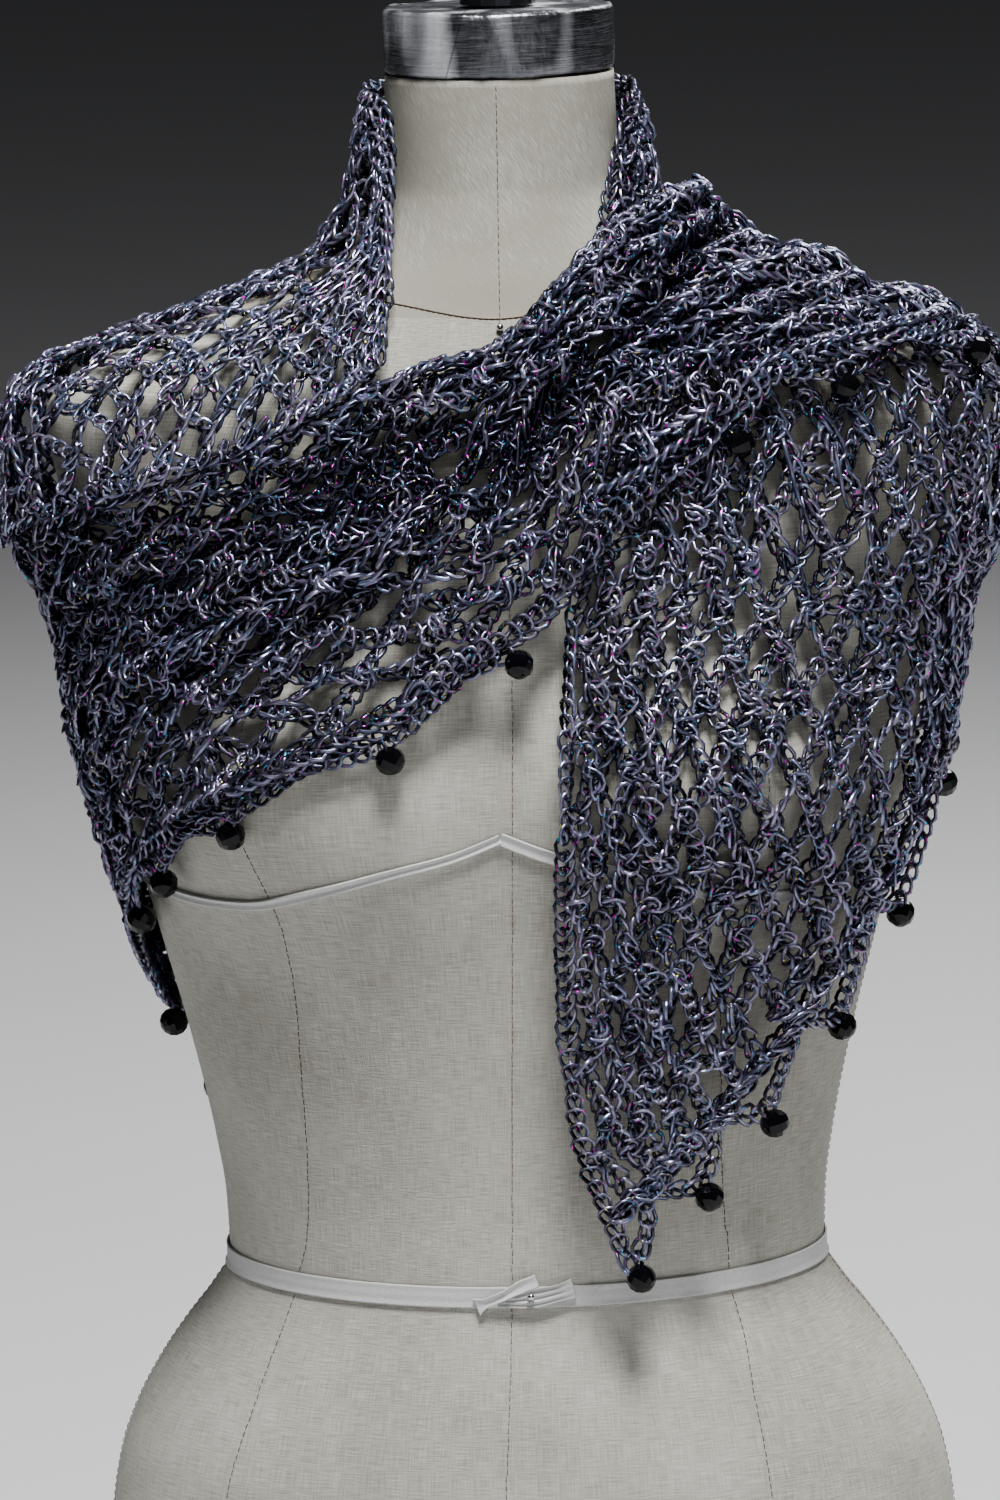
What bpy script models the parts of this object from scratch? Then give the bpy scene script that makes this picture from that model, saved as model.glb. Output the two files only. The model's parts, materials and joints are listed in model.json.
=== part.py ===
# Crochet shawl draped on a limbless dress form
#
# The form stands on its flat base. Its front faces -Y, its own right side is at -X.
# Angles are in degrees about the vertical axis: 0 at centre front, 90 at +X, 180 at centre back.
# The shawl is one wide triangle of netting. Its straight edge runs up the front, round the
# neck and across the chest, and its two short edges carry the beads.

import math

import bmesh
import bpy
import numpy as np

# Driving sizes, in metres
CLOTH_WALL = 0.0025
SEAM_GAP = 0.0003
FORM_TOP = 0.6848
CAP_RADIUS = 0.0433
CAP_HEIGHT = 0.0245
CAP_EDGE_ROUND = 0.003
CAP_TAPER = 0.0012
FIXTURE_RADIUS = 0.014
FIXTURE_HEIGHT = 0.008
TAPE_LIFT = 0.0006
TAPE_THICKNESS = 0.0010
WAIST_TAPE_WIDTH = 0.008
BUST_TAPE_WIDTH = 0.005
WAIST_HEIGHT = 0.2405
FORM_SIDES = 40
BEAD_RADIUS = 0.0052
BEAD_SIDES = 6
BEAD_SEAT = 0.97
HEM_NOTCH = 0.011
KNOT_HALF = (0.0065, 0.0022, 0.0050)
TAIL_WIDTH = 0.006
TAIL_THICKNESS = 0.0008
TAIL_BOW = 0.0016
SHARP_ANGLE = 50

# Half width, front depth and back depth of the form at each height
FORM_RINGS = np.array([
    # height, width, front, back
    (0.000, 0.1580, 0.1040, 0.1140),
    (0.040, 0.1610, 0.1080, 0.1210),
    (0.110, 0.1610, 0.1110, 0.1240),
    (0.139, 0.1600, 0.1100, 0.1210),
    (0.164, 0.1560, 0.1080, 0.1150),
    (0.183, 0.1490, 0.1050, 0.1070),
    (0.201, 0.1390, 0.1010, 0.0990),
    (0.216, 0.1284, 0.0970, 0.0920),
    (0.228, 0.1190, 0.0940, 0.0870),
    (0.240, 0.1125, 0.0920, 0.0850),
    (0.262, 0.1132, 0.0920, 0.0850),
    (0.287, 0.1167, 0.0930, 0.0870),
    (0.327, 0.1253, 0.0970, 0.0920),
    (0.362, 0.1345, 0.1010, 0.0990),
    (0.400, 0.1440, 0.1060, 0.1070),
    (0.430, 0.1500, 0.1080, 0.1110),
    (0.460, 0.1530, 0.1050, 0.1110),
    (0.490, 0.1570, 0.0990, 0.1080),
    (0.520, 0.1640, 0.0920, 0.1040),
    (0.545, 0.1710, 0.0840, 0.0990),
    (0.560, 0.1730, 0.0780, 0.0950),
    (0.570, 0.1680, 0.0730, 0.0900),
    (0.578, 0.1560, 0.0690, 0.0850),
    (0.586, 0.1370, 0.0650, 0.0810),
    (0.594, 0.1150, 0.0610, 0.0770),
    (0.602, 0.0930, 0.0570, 0.0720),
    (0.612, 0.0710, 0.0530, 0.0660),
    (0.622, 0.0570, 0.0490, 0.0600),
    (0.634, 0.0475, 0.0455, 0.0540),
    (0.645, 0.0438, 0.0430, 0.0500),
    (0.670, 0.0430, 0.0420, 0.0460),
    (FORM_TOP, 0.0425, 0.0420, 0.0430),
])

# The surface that the innermost cloth lies on, which spans the hollows of the form
DRAPE_RINGS = np.array([
    # height, width, front, back
    (0.200, 0.1240, 0.1080, 0.1120),
    (0.240, 0.1240, 0.1110, 0.1130),
    (0.300, 0.1270, 0.1140, 0.1140),
    (0.340, 0.1340, 0.1160, 0.1150),
    (0.364, 0.1400, 0.1180, 0.1160),
    (0.396, 0.1505, 0.1200, 0.1170),
    (0.430, 0.1590, 0.1210, 0.1170),
    (0.450, 0.1630, 0.1190, 0.1160),
    (0.470, 0.1660, 0.1150, 0.1150),
    (0.490, 0.1710, 0.1090, 0.1130),
    (0.508, 0.1800, 0.1040, 0.1110),
    (0.522, 0.1830, 0.1000, 0.1090),
    (0.540, 0.1830, 0.0950, 0.1060),
    (0.556, 0.1830, 0.0890, 0.1020),
    (0.568, 0.1800, 0.0830, 0.0980),
    (0.576, 0.1710, 0.0790, 0.0940),
    (0.584, 0.1530, 0.0750, 0.0900),
    (0.592, 0.1300, 0.0710, 0.0860),
    (0.600, 0.1080, 0.0670, 0.0820),
    (0.608, 0.0880, 0.0630, 0.0770),
    (0.616, 0.0720, 0.0600, 0.0720),
    (0.626, 0.0630, 0.0560, 0.0660),
    (0.638, 0.0570, 0.0530, 0.0600),
    (0.650, 0.0540, 0.0510, 0.0560),
    (0.676, 0.0490, 0.0480, 0.0510),
    (0.690, 0.0470, 0.0470, 0.0490),
    (0.706, 0.0465, 0.0470, 0.0490),
])

# Each bust cup: angle from centre front, height, spread round, spread up, rise
BUST = (38.0, 0.428, 17.0, 0.036, 0.024)
# Extra rings that carry the curves of the waist and of the cups
EXTRA_HEIGHTS = (0.2345, 0.2455, 0.2520, 0.372, 0.381, 0.3905, 0.410, 0.420, 0.445, 0.475)
DRAPE_CLEARANCE = 0.0028
DRAPE_BLEND = 30

# Path of the tape under the bust, mirrored left to right
BUST_TAPE_PATH = np.array([
    # angle, height
    (0.0, 0.4150),
    (9.0, 0.4085),
    (20.0, 0.4030),
    (32.0, 0.3960),
    (46.0, 0.3890),
    (62.0, 0.3875),
    (90.0, 0.3900),
    (180.0, 0.4000),
])

# One row for each cross line of a stretch, from the shawl's straight edge to its beaded hem.
# The lifts are millimetres from the drape surface to the middle of the wall, and "under" is the
# height of the cloth that the hem's bead lies on.
STRETCH_COLUMNS = ("edge_angle", "edge_height", "hem_angle", "hem_height", "edge_lift", "hem_lift",
                   "bead", "under")
HANGING_END = [
    (20.0, 0.2635, 22.5, 0.2540, 1.5, 1.5, 1, 0.0),
    (15.0, 0.2850, 35.8, 0.2822, 1.5, 1.5, 1, 0.0),
    (11.0, 0.3180, 49.5, 0.3062, 1.5, 1.5, 1, 0.0),
    (9.7, 0.3680, 64.4, 0.3377, 1.5, 1.5, 1, 0.0),
    (10.2, 0.4250, 77.3, 0.3745, 1.5, 1.5, 1, 0.0),
    (12.6, 0.4870, 84.0, 0.4205, 1.5, 1.5, 1, 0.0),
    (22.0, 0.5350, 89.0, 0.4300, 1.5, 1.5, 0, 0.0),
    (36.0, 0.6050, 93.0, 0.4340, 1.5, 1.5, 0, 0.0),
    (50.0, 0.6480, 97.0, 0.4330, 1.5, 1.5, 1, 0.0),
    (74.0, 0.6760, 100.5, 0.4280, 1.5, 1.5, 0, 0.0),
    (104.0, 0.6800, 104.0, 0.4200, 1.5, 1.5, 1, 0.0),
]
BACK_PANEL = [
    (104.0, 0.6800, 104.0, 0.4200, 1.5, 1.5, 1, 0.0),
    (118.0, 0.6800, 118.0, 0.3900, 1.5, 1.5, 1, 0.0),
    (132.0, 0.6800, 132.0, 0.3520, 1.5, 1.5, 1, 0.0),
    (146.0, 0.6800, 146.0, 0.3150, 1.5, 1.5, 1, 0.0),
    (162.0, 0.6800, 162.0, 0.2800, 1.5, 1.5, 1, 0.0),
    (180.0, 0.6800, 180.0, 0.2550, 1.5, 1.5, 1, 0.0),
    (198.0, 0.6800, 198.0, 0.2620, 1.5, 1.5, 1, 0.0),
    (215.0, 0.6800, 215.0, 0.2720, 1.5, 1.5, 1, 0.0),
    (232.0, 0.6800, 232.0, 0.2840, 1.5, 1.5, 1, 0.0),
    (248.5, 0.6800, 248.5, 0.2985, 1.5, 1.5, 1, 0.0),
    (260.0, 0.6800, 260.0, 0.3280, 1.5, 1.5, 1, 0.0),
]
RIGHT_CAPE = [
    (-100.0, 0.6800, -100.0, 0.4989, 1.5, 1.5, 0, 0.0),
    (-78.0, 0.6800, -90.0, 0.5110, 1.5, 5.5, 0, 0.0),
    (-58.0, 0.6785, -80.0, 0.5238, 1.5, 8.0, 0, 0.0),
    (-49.5, 0.6700, -71.4, 0.5315, 1.5, 9.0, 0, 0.0),
    (-45.5, 0.6480, -63.2, 0.5390, 1.5, 9.0, 0, 0.0),
    (-41.0, 0.6300, -55.6, 0.5460, 1.5, 9.0, 0, 0.0),
    (-36.0, 0.6140, -46.6, 0.5565, 1.5, 9.5, 0, 0.0),
    (-31.8, 0.5970, -37.0, 0.5680, 1.5, 9.5, 0, 0.0),
    (-29.6, 0.5860, -30.2, 0.5785, 1.5, 9.0, 0, 0.0),
]
FRONT_SWAG = [
    (-100.0, 0.4985, -100.0, 0.3280, 1.5, 1.5, 1, 0.0),
    (-90.0, 0.5105, -90.0, 0.3530, 2.5, 1.5, 0, 0.0),
    (-80.0, 0.5230, -81.5, 0.3680, 3.5, 1.5, 0, 0.0),
    (-68.0, 0.5347, -73.5, 0.3800, 4.0, 2.0, 1, 0.0),
    (-55.6, 0.5460, -61.5, 0.3985, 4.5, 2.5, 1, 0.0),
    (-38.0, 0.5665, -42.0, 0.4228, 5.0, 3.0, 1, 0.0),
    (-24.0, 0.5790, -19.0, 0.4500, 6.0, 3.5, 1, 0.0),
    (1.8, 0.5885, 2.8, 0.4820, 8.0, 7.0, 1, 0.0),
    (12.0, 0.5980, 15.0, 0.5080, 9.0, 9.0, 0, 4.8),
    (20.0, 0.6085, 24.0, 0.5270, 11.0, 9.0, 0, 4.8),
    (32.0, 0.6205, 35.0, 0.5430, 12.0, 9.0, 0, 4.8),
    (48.0, 0.6330, 47.0, 0.5563, 13.0, 11.0, 1, 4.8),
    (66.0, 0.6400, 64.0, 0.5715, 14.0, 12.0, 1, 4.8),
    (83.0, 0.6400, 83.0, 0.5755, 14.0, 11.0, 1, 4.8),
]
THROWN_END = [
    (83.0, 0.6400, 83.0, 0.5755, 14.0, 11.0, 1, 4.8),
    (96.0, 0.6340, 99.0, 0.5680, 12.0, 10.5, 1, 6.4),
    (108.0, 0.6200, 113.0, 0.5380, 10.0, 10.0, 1, 6.4),
    (118.0, 0.6000, 125.0, 0.4900, 9.0, 10.0, 1, 6.4),
    (127.0, 0.5700, 134.0, 0.4420, 8.0, 10.0, 1, 6.4),
    (136.0, 0.5200, 142.0, 0.4000, 8.0, 10.0, 1, 6.4),
    (143.0, 0.4550, 148.0, 0.3690, 8.0, 10.0, 1, 6.4),
    (149.5, 0.3800, 152.0, 0.3520, 8.0, 10.0, 1, 6.4),
]

# Folds of each stretch. Places are fractions from the straight edge (0) to the hem (1) at the
# first and the last row, heights are millimetres at the first, middle and last row.
FOLD_COLUMNS = ("first_place", "last_place", "spread", "first_rise", "middle_rise", "last_rise")
SWAG_FOLDS = [
    (0.06, 0.05, 0.045, 0.0, 4.5, 5.0),
    (0.20, 0.17, 0.050, 0.0, 5.0, 6.0),
    (0.36, 0.33, 0.045, 0.0, 1.5, 4.0),
    (0.50, 0.50, 0.050, 0.0, 6.0, 6.5),
    (0.64, 0.66, 0.040, 0.0, 5.0, 5.0),
    (0.78, 0.80, 0.040, 0.0, 4.0, 4.5),
    (0.91, 0.93, 0.035, 0.0, 2.5, 4.0),
]
THROWN_FOLDS = [
    (0.05, 0.10, 0.060, 5.0, 3.0, 0.0),
    (0.17, 0.30, 0.060, 6.0, 3.0, 0.0),
    (0.50, 0.50, 0.070, 6.5, 4.0, 0.0),
    (0.80, 0.75, 0.070, 4.5, 3.0, 0.0),
]
# The back and the hanging end fold lengthwise: place along the stretch, spread, rise
BACK_FOLDS = [
    (0.22, 0.040, 3.5),
    (0.40, 0.035, 4.5),
    (0.57, 0.040, 4.0),
    (0.76, 0.045, 3.5),
]
HANGING_FOLDS = [
    (0.30, 0.050, 1.6),
    (0.46, 0.040, 1.8),
]


def smooth_between(places, values, query):
    """Values at the query places on a curve that never overshoots its table."""
    places = np.asarray(places, float)
    values = np.asarray(values, float)
    query = np.clip(query, places[0], places[-1])
    step = np.diff(places)
    slope = np.diff(values) / step
    tangent = np.zeros_like(values)
    tangent[0], tangent[-1] = slope[0], slope[-1]
    for i in range(1, len(values) - 1):
        if slope[i - 1] * slope[i] > 0:
            before = 2 * step[i] + step[i - 1]
            after = step[i] + 2 * step[i - 1]
            tangent[i] = (before + after) / (before / slope[i - 1] + after / slope[i])
    i = np.clip(np.searchsorted(places, query, side="right") - 1, 0, len(step) - 1)
    t = (query - places[i]) / step[i]
    start = values[i] * (1 + 2 * t) * (1 - t) ** 2 + tangent[i] * step[i] * t * (1 - t) ** 2
    end = values[i + 1] * t * t * (3 - 2 * t) + tangent[i + 1] * step[i] * t * t * (t - 1)
    return start + end


def ring_radius(rings, angle, height):
    """Distance from the axis of the oval ring at each angle (radians) and height."""
    width = smooth_between(rings[:, 0], rings[:, 1], height)
    front = smooth_between(rings[:, 0], rings[:, 2], height)
    back = smooth_between(rings[:, 0], rings[:, 3], height)
    depth = np.where(np.cos(angle) > 0, front, back)
    return 1 / np.hypot(np.sin(angle) / width, np.cos(angle) / depth)


def form_radius(angle, height):
    """Radius of the form with its two bust cups."""
    degrees = (np.degrees(angle) + 180) % 360 - 180
    across, up = (np.abs(degrees) - BUST[0]) / BUST[2], (height - BUST[1]) / BUST[3]
    return ring_radius(FORM_RINGS, angle, height) + BUST[4] * np.exp(-(across ** 2 + up ** 2) / 2)


def drape_radius(angle, height):
    """Radius of the surface under the cloth, always clear of the form."""
    span = ring_radius(DRAPE_RINGS, angle, height)
    least = form_radius(angle, height) + DRAPE_CLEARANCE
    return (span ** DRAPE_BLEND + least ** DRAPE_BLEND) ** (1 / DRAPE_BLEND)


def point_at(radius_at, angle, height):
    """Point of a surface of given radius at each angle and height."""
    radius = radius_at(angle, height)
    return np.stack([radius * np.sin(angle), -radius * np.cos(angle), height + 0 * radius], -1)


def lifted(radius_at, angle, height, lift):
    """Point raised from a surface along its normal."""
    turn, rise = 1e-4, 1e-5
    here = point_at(radius_at, angle, height)
    round_way = point_at(radius_at, angle + turn, height) - point_at(radius_at, angle - turn, height)
    up_way = point_at(radius_at, angle, height + rise) - point_at(radius_at, angle, height - rise)
    normal = np.cross(round_way, up_way)
    normal /= np.linalg.norm(normal, axis=-1, keepdims=True)
    return here + normal * np.asarray(lift)[..., None]


# Length along the side outline of the drape surface, for even steps over the shoulder
OUTLINE_HEIGHTS = np.linspace(DRAPE_RINGS[0, 0], DRAPE_RINGS[-1, 0], 400)
OUTLINE_WIDTHS = smooth_between(DRAPE_RINGS[:, 0], DRAPE_RINGS[:, 1], OUTLINE_HEIGHTS)
OUTLINE_RUN = np.concatenate([[0], np.cumsum(np.hypot(np.diff(OUTLINE_HEIGHTS), np.diff(OUTLINE_WIDTHS)))])


def run_of(height):
    """Length along the side outline up to a height."""
    return np.interp(height, OUTLINE_HEIGHTS, OUTLINE_RUN)


def height_of(run):
    """Height at a length along the side outline."""
    return np.interp(run, OUTLINE_RUN, OUTLINE_HEIGHTS)


def table(rows, columns):
    """Named columns of a short table."""
    return dict(zip(columns, np.array(rows, float).T))


def cross_folds(along, across, folds):
    """Height of folds that run along a stretch, in metres."""
    rise = np.zeros(np.broadcast(along, across).shape)
    for fold in folds:
        row = dict(zip(FOLD_COLUMNS, fold))
        place = row["first_place"] + (row["last_place"] - row["first_place"]) * along
        heights = [row["first_rise"], row["middle_rise"], row["last_rise"]]
        height = smooth_between([0, 0.5, 1], heights, along) / 1000
        rise += height * np.exp(-((across - place) / row["spread"]) ** 2)
    return rise


def long_folds(along, across, folds):
    """Height of folds that run from the straight edge to the hem, growing towards the hem."""
    rise = np.zeros(np.broadcast(along, across).shape)
    for place, spread, height in folds:
        rise += height / 1000 * np.exp(-((along - place) / spread) ** 2) * np.sin(0.5 * math.pi * across)
    return rise


class Stretch:
    """One stretch of the shawl, with points from its table, steps between rows and across."""

    def __init__(self, name, rows, steps, across, folds=None, fold_height=None):
        self.name = name
        self.rows = table(rows, STRETCH_COLUMNS)
        self.count = len(rows)
        self.steps = steps
        self.across = across
        self.folds = folds
        self.fold_height = fold_height

    def column(self, name, along):
        """A column's value at places counted in rows."""
        return smooth_between(np.arange(self.count), self.rows[name], along)

    def notch(self, along):
        """How far the hem steps in between two beads, in metres."""
        first = np.clip(np.floor(along).astype(int), 0, self.count - 2)
        both = self.rows["bead"][first] * self.rows["bead"][first + 1]
        return HEM_NOTCH * both * (1 - 2 * np.abs(along - first - 0.5))

    def place(self, along, across):
        """Angle, height and lift at a place on the stretch."""
        edge = np.radians(self.column("edge_angle", along))
        hem = np.radians(self.column("hem_angle", along))
        edge_run = run_of(self.column("edge_height", along))
        hem_run = run_of(self.column("hem_height", along)) + self.notch(along)
        lift = self.column("edge_lift", along) * (1 - across) + self.column("hem_lift", along) * across
        lift = lift / 1000
        if self.folds is not None:
            lift = lift + self.fold_height(along / (self.count - 1), across, self.folds)
        return edge + (hem - edge) * across, height_of(edge_run + (hem_run - edge_run) * across), lift

    def seam_way(self, end):
        """Direction round the axis at an end that is cut along an upright seam, or None."""
        if self.rows["edge_angle"][end] != self.rows["hem_angle"][end]:
            return None
        turn = math.radians(self.rows["edge_angle"][end])
        return np.array([math.cos(turn), math.sin(turn), 0.0])

    def surface(self, offset):
        """Grid of points on one face of the wall, cut flat at its upright seams and drawn in all round."""
        along = np.linspace(0, self.count - 1, (self.count - 1) * self.steps + 1)[:, None]
        across = np.linspace(0, 1, self.across + 1)[None, :]
        angle, height, lift = self.place(along, across)
        points = lifted(drape_radius, angle, height, lift + offset)
        for end, inner in ((0, 1), (-1, -2)):
            round_way = self.seam_way(end)
            if round_way is not None:
                inward = np.sign(((points[inner] - points[end]) @ round_way).mean())
                points[end] -= (points[end] @ round_way)[:, None] * round_way
                points[end] += inward * SEAM_GAP / 2 * round_way
        for end, inner in ((0, 1), (-1, -2)):
            way = points[:, inner] - points[:, end]
            points[:, end] += way / np.linalg.norm(way, axis=-1, keepdims=True) * SEAM_GAP / 2
        return points

    def hem_point(self, along, across, raise_to=None):
        """Point near the hem at the wall's middle, or at a given lift."""
        along = np.clip(along, 0, self.count - 1)
        angle, height, lift = (float(v) for v in self.place(along, across))
        point = lifted(drape_radius, angle, height, lift if raise_to is None else raise_to)
        for end in (0, -1):
            round_way = self.seam_way(end)
            if round_way is not None and along == end % self.count:
                point = point - (point @ round_way) * round_way
        return point

    def bead_places(self):
        """Centre of the bead outside each marked row, just clear of the wall's tip."""
        places = []
        for row in np.flatnonzero(self.rows["bead"]):
            lift = float(self.place(float(row), 1.0)[2])
            under = self.rows["under"][row] / 1000 or SEAM_GAP - DRAPE_CLEARANCE
            free = max(lift, under + BEAD_RADIUS + SEAM_GAP)
            tip = self.hem_point(float(row), 1.0)
            along_hem = self.hem_point(row + 1.0, 1.0) - self.hem_point(row - 1.0, 1.0)
            along_hem /= np.linalg.norm(along_hem)
            outward = tip - self.hem_point(float(row), 0.95)
            outward -= (outward @ along_hem) * along_hem
            outward /= np.linalg.norm(outward)
            reach = BEAD_SEAT * BEAD_RADIUS + SEAM_GAP / 2
            step = max(free - lift - CLOTH_WALL / 2, 0.0)
            out = math.sqrt(reach ** 2 - min(step, 0.9 * reach) ** 2)
            places.append(self.hem_point(float(row), 1.0, free) + outward * out)
        return places


def paint(name, colour, roughness, metallic=0.0):
    """A Principled material with the piece's own colour."""
    material = bpy.data.materials.new(name)
    material.use_nodes = True
    shader = material.node_tree.nodes["Principled BSDF"]
    shader.inputs["Base Color"].default_value = (*colour, 1.0)
    shader.inputs["Roughness"].default_value = roughness
    shader.inputs["Metallic"].default_value = metallic
    return material


def add_piece(name, mesh_data, material, smooth=True):
    """A closed mesh from points and faces as a named object."""
    points, faces = mesh_data
    mesh = bpy.data.meshes.new(name)
    mesh.from_pydata([tuple(p) for p in points], [], faces)
    shape = bmesh.new()
    shape.from_mesh(mesh)
    bmesh.ops.recalc_face_normals(shape, faces=shape.faces)
    shape.to_mesh(mesh)
    shape.free()
    mesh.materials.append(material)
    if smooth:
        mesh.shade_smooth()
        mesh.set_sharp_from_angle(angle=math.radians(SHARP_ANGLE))
    piece = bpy.data.objects.new(name, mesh)
    bpy.context.collection.objects.link(piece)
    return piece


def wall(outer, inner):
    """Closed wall between two grids of points of the same size."""
    rows, columns = outer.shape[:2]
    points = np.concatenate([outer.reshape(-1, 3), inner.reshape(-1, 3)])
    behind = rows * columns

    def at(row, column):
        return row * columns + column

    faces = []
    for row in range(rows - 1):
        for column in range(columns - 1):
            a, b = at(row, column), at(row + 1, column)
            c, d = at(row + 1, column + 1), at(row, column + 1)
            faces.append((a, b, c, d))
            faces.append((behind + d, behind + c, behind + b, behind + a))
    border = [at(row, 0) for row in range(rows)]
    border += [at(rows - 1, column) for column in range(1, columns)]
    border += [at(row, columns - 1) for row in range(rows - 2, -1, -1)]
    border += [at(0, column) for column in range(columns - 2, 0, -1)]
    for this, following in zip(border, border[1:] + border[:1]):
        faces.append((following, this, behind + this, behind + following))
    return points, faces


def stack(rings):
    """Closed solid from rings of points, with a flat face at each end."""
    sides = len(rings[0])
    points = np.concatenate(rings)
    faces = [tuple(range(sides))]
    for ring in range(len(rings) - 1):
        for side in range(sides):
            following = (side + 1) % sides
            low, high = ring * sides, (ring + 1) * sides
            faces.append((low + side, low + following, high + following, high + side))
    faces.append(tuple(range(len(points) - 1, len(points) - 1 - sides, -1)))
    return points, faces


def turned(profile, centre, sides, axis_start=0.0):
    """Solid turned about a vertical axis from a table of radius and height."""
    angles = axis_start + np.arange(sides) * 2 * math.pi / sides
    rings = []
    for radius, height in profile:
        ring = np.stack([radius * np.sin(angles), -radius * np.cos(angles), height + 0 * angles], -1)
        rings.append(ring + np.asarray(centre))
    return stack(rings)


def band(heights_at, width, sides):
    """Closed flat tape that runs all round the form."""
    angles = np.arange(sides) * 2 * math.pi / sides
    middle = heights_at(np.degrees(angles))
    corners = [(-width / 2, TAPE_LIFT), (width / 2, TAPE_LIFT)]
    corners += [(width / 2, TAPE_LIFT + TAPE_THICKNESS), (-width / 2, TAPE_LIFT + TAPE_THICKNESS)]
    loops = [lifted(form_radius, angles, middle + up, lift + 0 * angles) for up, lift in corners]
    points = np.concatenate(loops)
    faces = []
    for corner in range(4):
        this, following = corner * sides, (corner + 1) % 4 * sides
        for side in range(sides):
            ahead = (side + 1) % sides
            faces.append((this + side, this + ahead, following + ahead, following + side))
    return points, faces


def bust_tape_heights(degrees):
    """Height of the bust tape's middle, the same on both sides."""
    folded = np.abs((degrees + 180) % 360 - 180)
    return smooth_between(BUST_TAPE_PATH[:, 0], BUST_TAPE_PATH[:, 1], folded)


def build_form(linen, foil, dark):
    """The padded body, its wrapped neck cap and the plain fixture on top."""
    angles = np.arange(FORM_SIDES) * 2 * math.pi / FORM_SIDES
    heights = sorted([*FORM_RINGS[:, 0], *EXTRA_HEIGHTS])
    rings = [point_at(form_radius, angles, height + 0 * angles) for height in heights]
    add_piece("form_torso", stack(rings), linen)
    base = FORM_TOP + SEAM_GAP
    top = base + CAP_HEIGHT
    arc = np.linspace(0, math.pi / 2, 4)
    rounded = [(CAP_RADIUS - CAP_EDGE_ROUND * (1 - math.cos(a)),
                top - CAP_EDGE_ROUND * (1 - math.sin(a))) for a in arc]
    profile = [(CAP_RADIUS - CAP_TAPER, base), (CAP_RADIUS, top - 2 * CAP_EDGE_ROUND)] + rounded
    add_piece("neck_cap", turned(profile, (0, 0, 0), 28), foil)
    seat = top + SEAM_GAP
    profile = [(FIXTURE_RADIUS, seat), (FIXTURE_RADIUS, seat + 0.8 * FIXTURE_HEIGHT),
               (0.85 * FIXTURE_RADIUS, seat + FIXTURE_HEIGHT)]
    add_piece("neck_fixture", turned(profile, (0, 0, 0), 16), dark)


def build_tapes(white):
    """Waist tape with its knot and two tails, and the tape under the bust."""
    waist = band(lambda degrees: WAIST_HEIGHT + 0 * degrees, WAIST_TAPE_WIDTH, FORM_SIDES)
    add_piece("waist_tape", waist, white)
    add_piece("bust_tape", band(bust_tape_heights, BUST_TAPE_WIDTH, 2 * FORM_SIDES), white)
    outside = TAPE_LIFT + TAPE_THICKNESS + SEAM_GAP
    wide, deep, tall = KNOT_HALF
    front = point_at(form_radius, 0.0, WAIST_HEIGHT)
    centre = front + np.array([0, -(outside + deep), 0])
    around = np.arange(12) * math.pi / 6
    rings = []
    for level in np.radians([-80, -45, 0, 45, 80]):
        narrow = math.cos(level)
        across, out = wide * narrow * np.cos(around), deep * narrow * np.sin(around)
        rings.append(np.stack([across, out, tall * math.sin(level) + 0 * around], -1) + centre)
    add_piece("waist_knot", stack(rings), white)
    for name, side, drop in (("waist_tail_left", 1, 0.009), ("waist_tail_right", -1, 0.002)):
        along = np.linspace(0, 1, 7)[:, None]
        half = np.array([-0.5, 0.5])[None, :] * TAIL_WIDTH
        angle = side * np.radians(4.2 + 9.0 * along) + 0 * half
        height = WAIST_HEIGHT - drop * along ** 1.3 + half
        lift = outside + TAIL_BOW * np.sin(math.pi * along) + 0 * half
        outer = lifted(form_radius, angle, height, lift + TAIL_THICKNESS)
        inner = lifted(form_radius, angle, height, lift)
        add_piece(name, wall(outer, inner), white, smooth=False)


def build_bead(name, centre, black):
    """A round bead cut with flat facets."""
    levels = np.radians([-76, -26, 26, 76])
    profile = [(BEAD_RADIUS * math.cos(level), BEAD_RADIUS * math.sin(level)) for level in levels]
    add_piece(name, turned(profile, centre, BEAD_SIDES), black, smooth=False)


def build_shawl(yarn, black):
    """Five stretches of the one cloth, and a bead at each corner of its hem."""
    stretches = [
        Stretch("hanging_end", HANGING_END, 2, 16, HANGING_FOLDS, long_folds),
        Stretch("back_panel", BACK_PANEL, 3, 12, BACK_FOLDS, long_folds),
        Stretch("right_cape", RIGHT_CAPE, 2, 8),
        Stretch("front_swag", FRONT_SWAG, 2, 28, SWAG_FOLDS, cross_folds),
        Stretch("thrown_end", THROWN_END, 2, 14, THROWN_FOLDS, cross_folds),
    ]
    places = []
    for stretch in stretches:
        outer = stretch.surface(CLOTH_WALL / 2)
        inner = stretch.surface(-CLOTH_WALL / 2)
        add_piece(stretch.name, wall(outer, inner), yarn)
        for place in stretch.bead_places():
            if all(np.linalg.norm(place - other) > 3 * BEAD_RADIUS for other in places):
                places.append(place)
    for number, place in enumerate(places, start=1):
        build_bead(f"bead_{number:02d}", place, black)


def main():
    """Clear the scene and build the form, its tapes, the shawl and its beads."""
    for thing in list(bpy.data.objects):
        bpy.data.objects.remove(thing, do_unlink=True)
    linen = paint("form_linen", (0.80, 0.76, 0.66), 0.85)
    foil = paint("neck_foil", (0.72, 0.72, 0.74), 0.30, 0.9)
    dark = paint("fixture_metal", (0.05, 0.05, 0.06), 0.40, 0.8)
    white = paint("cotton_tape", (0.88, 0.88, 0.86), 0.75)
    yarn = paint("crochet_yarn", (0.30, 0.29, 0.38), 0.45, 0.2)
    black = paint("jet_beads", (0.01, 0.01, 0.012), 0.08)
    build_form(linen, foil, dark)
    build_tapes(white)
    build_shawl(yarn, black)


main()
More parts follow.
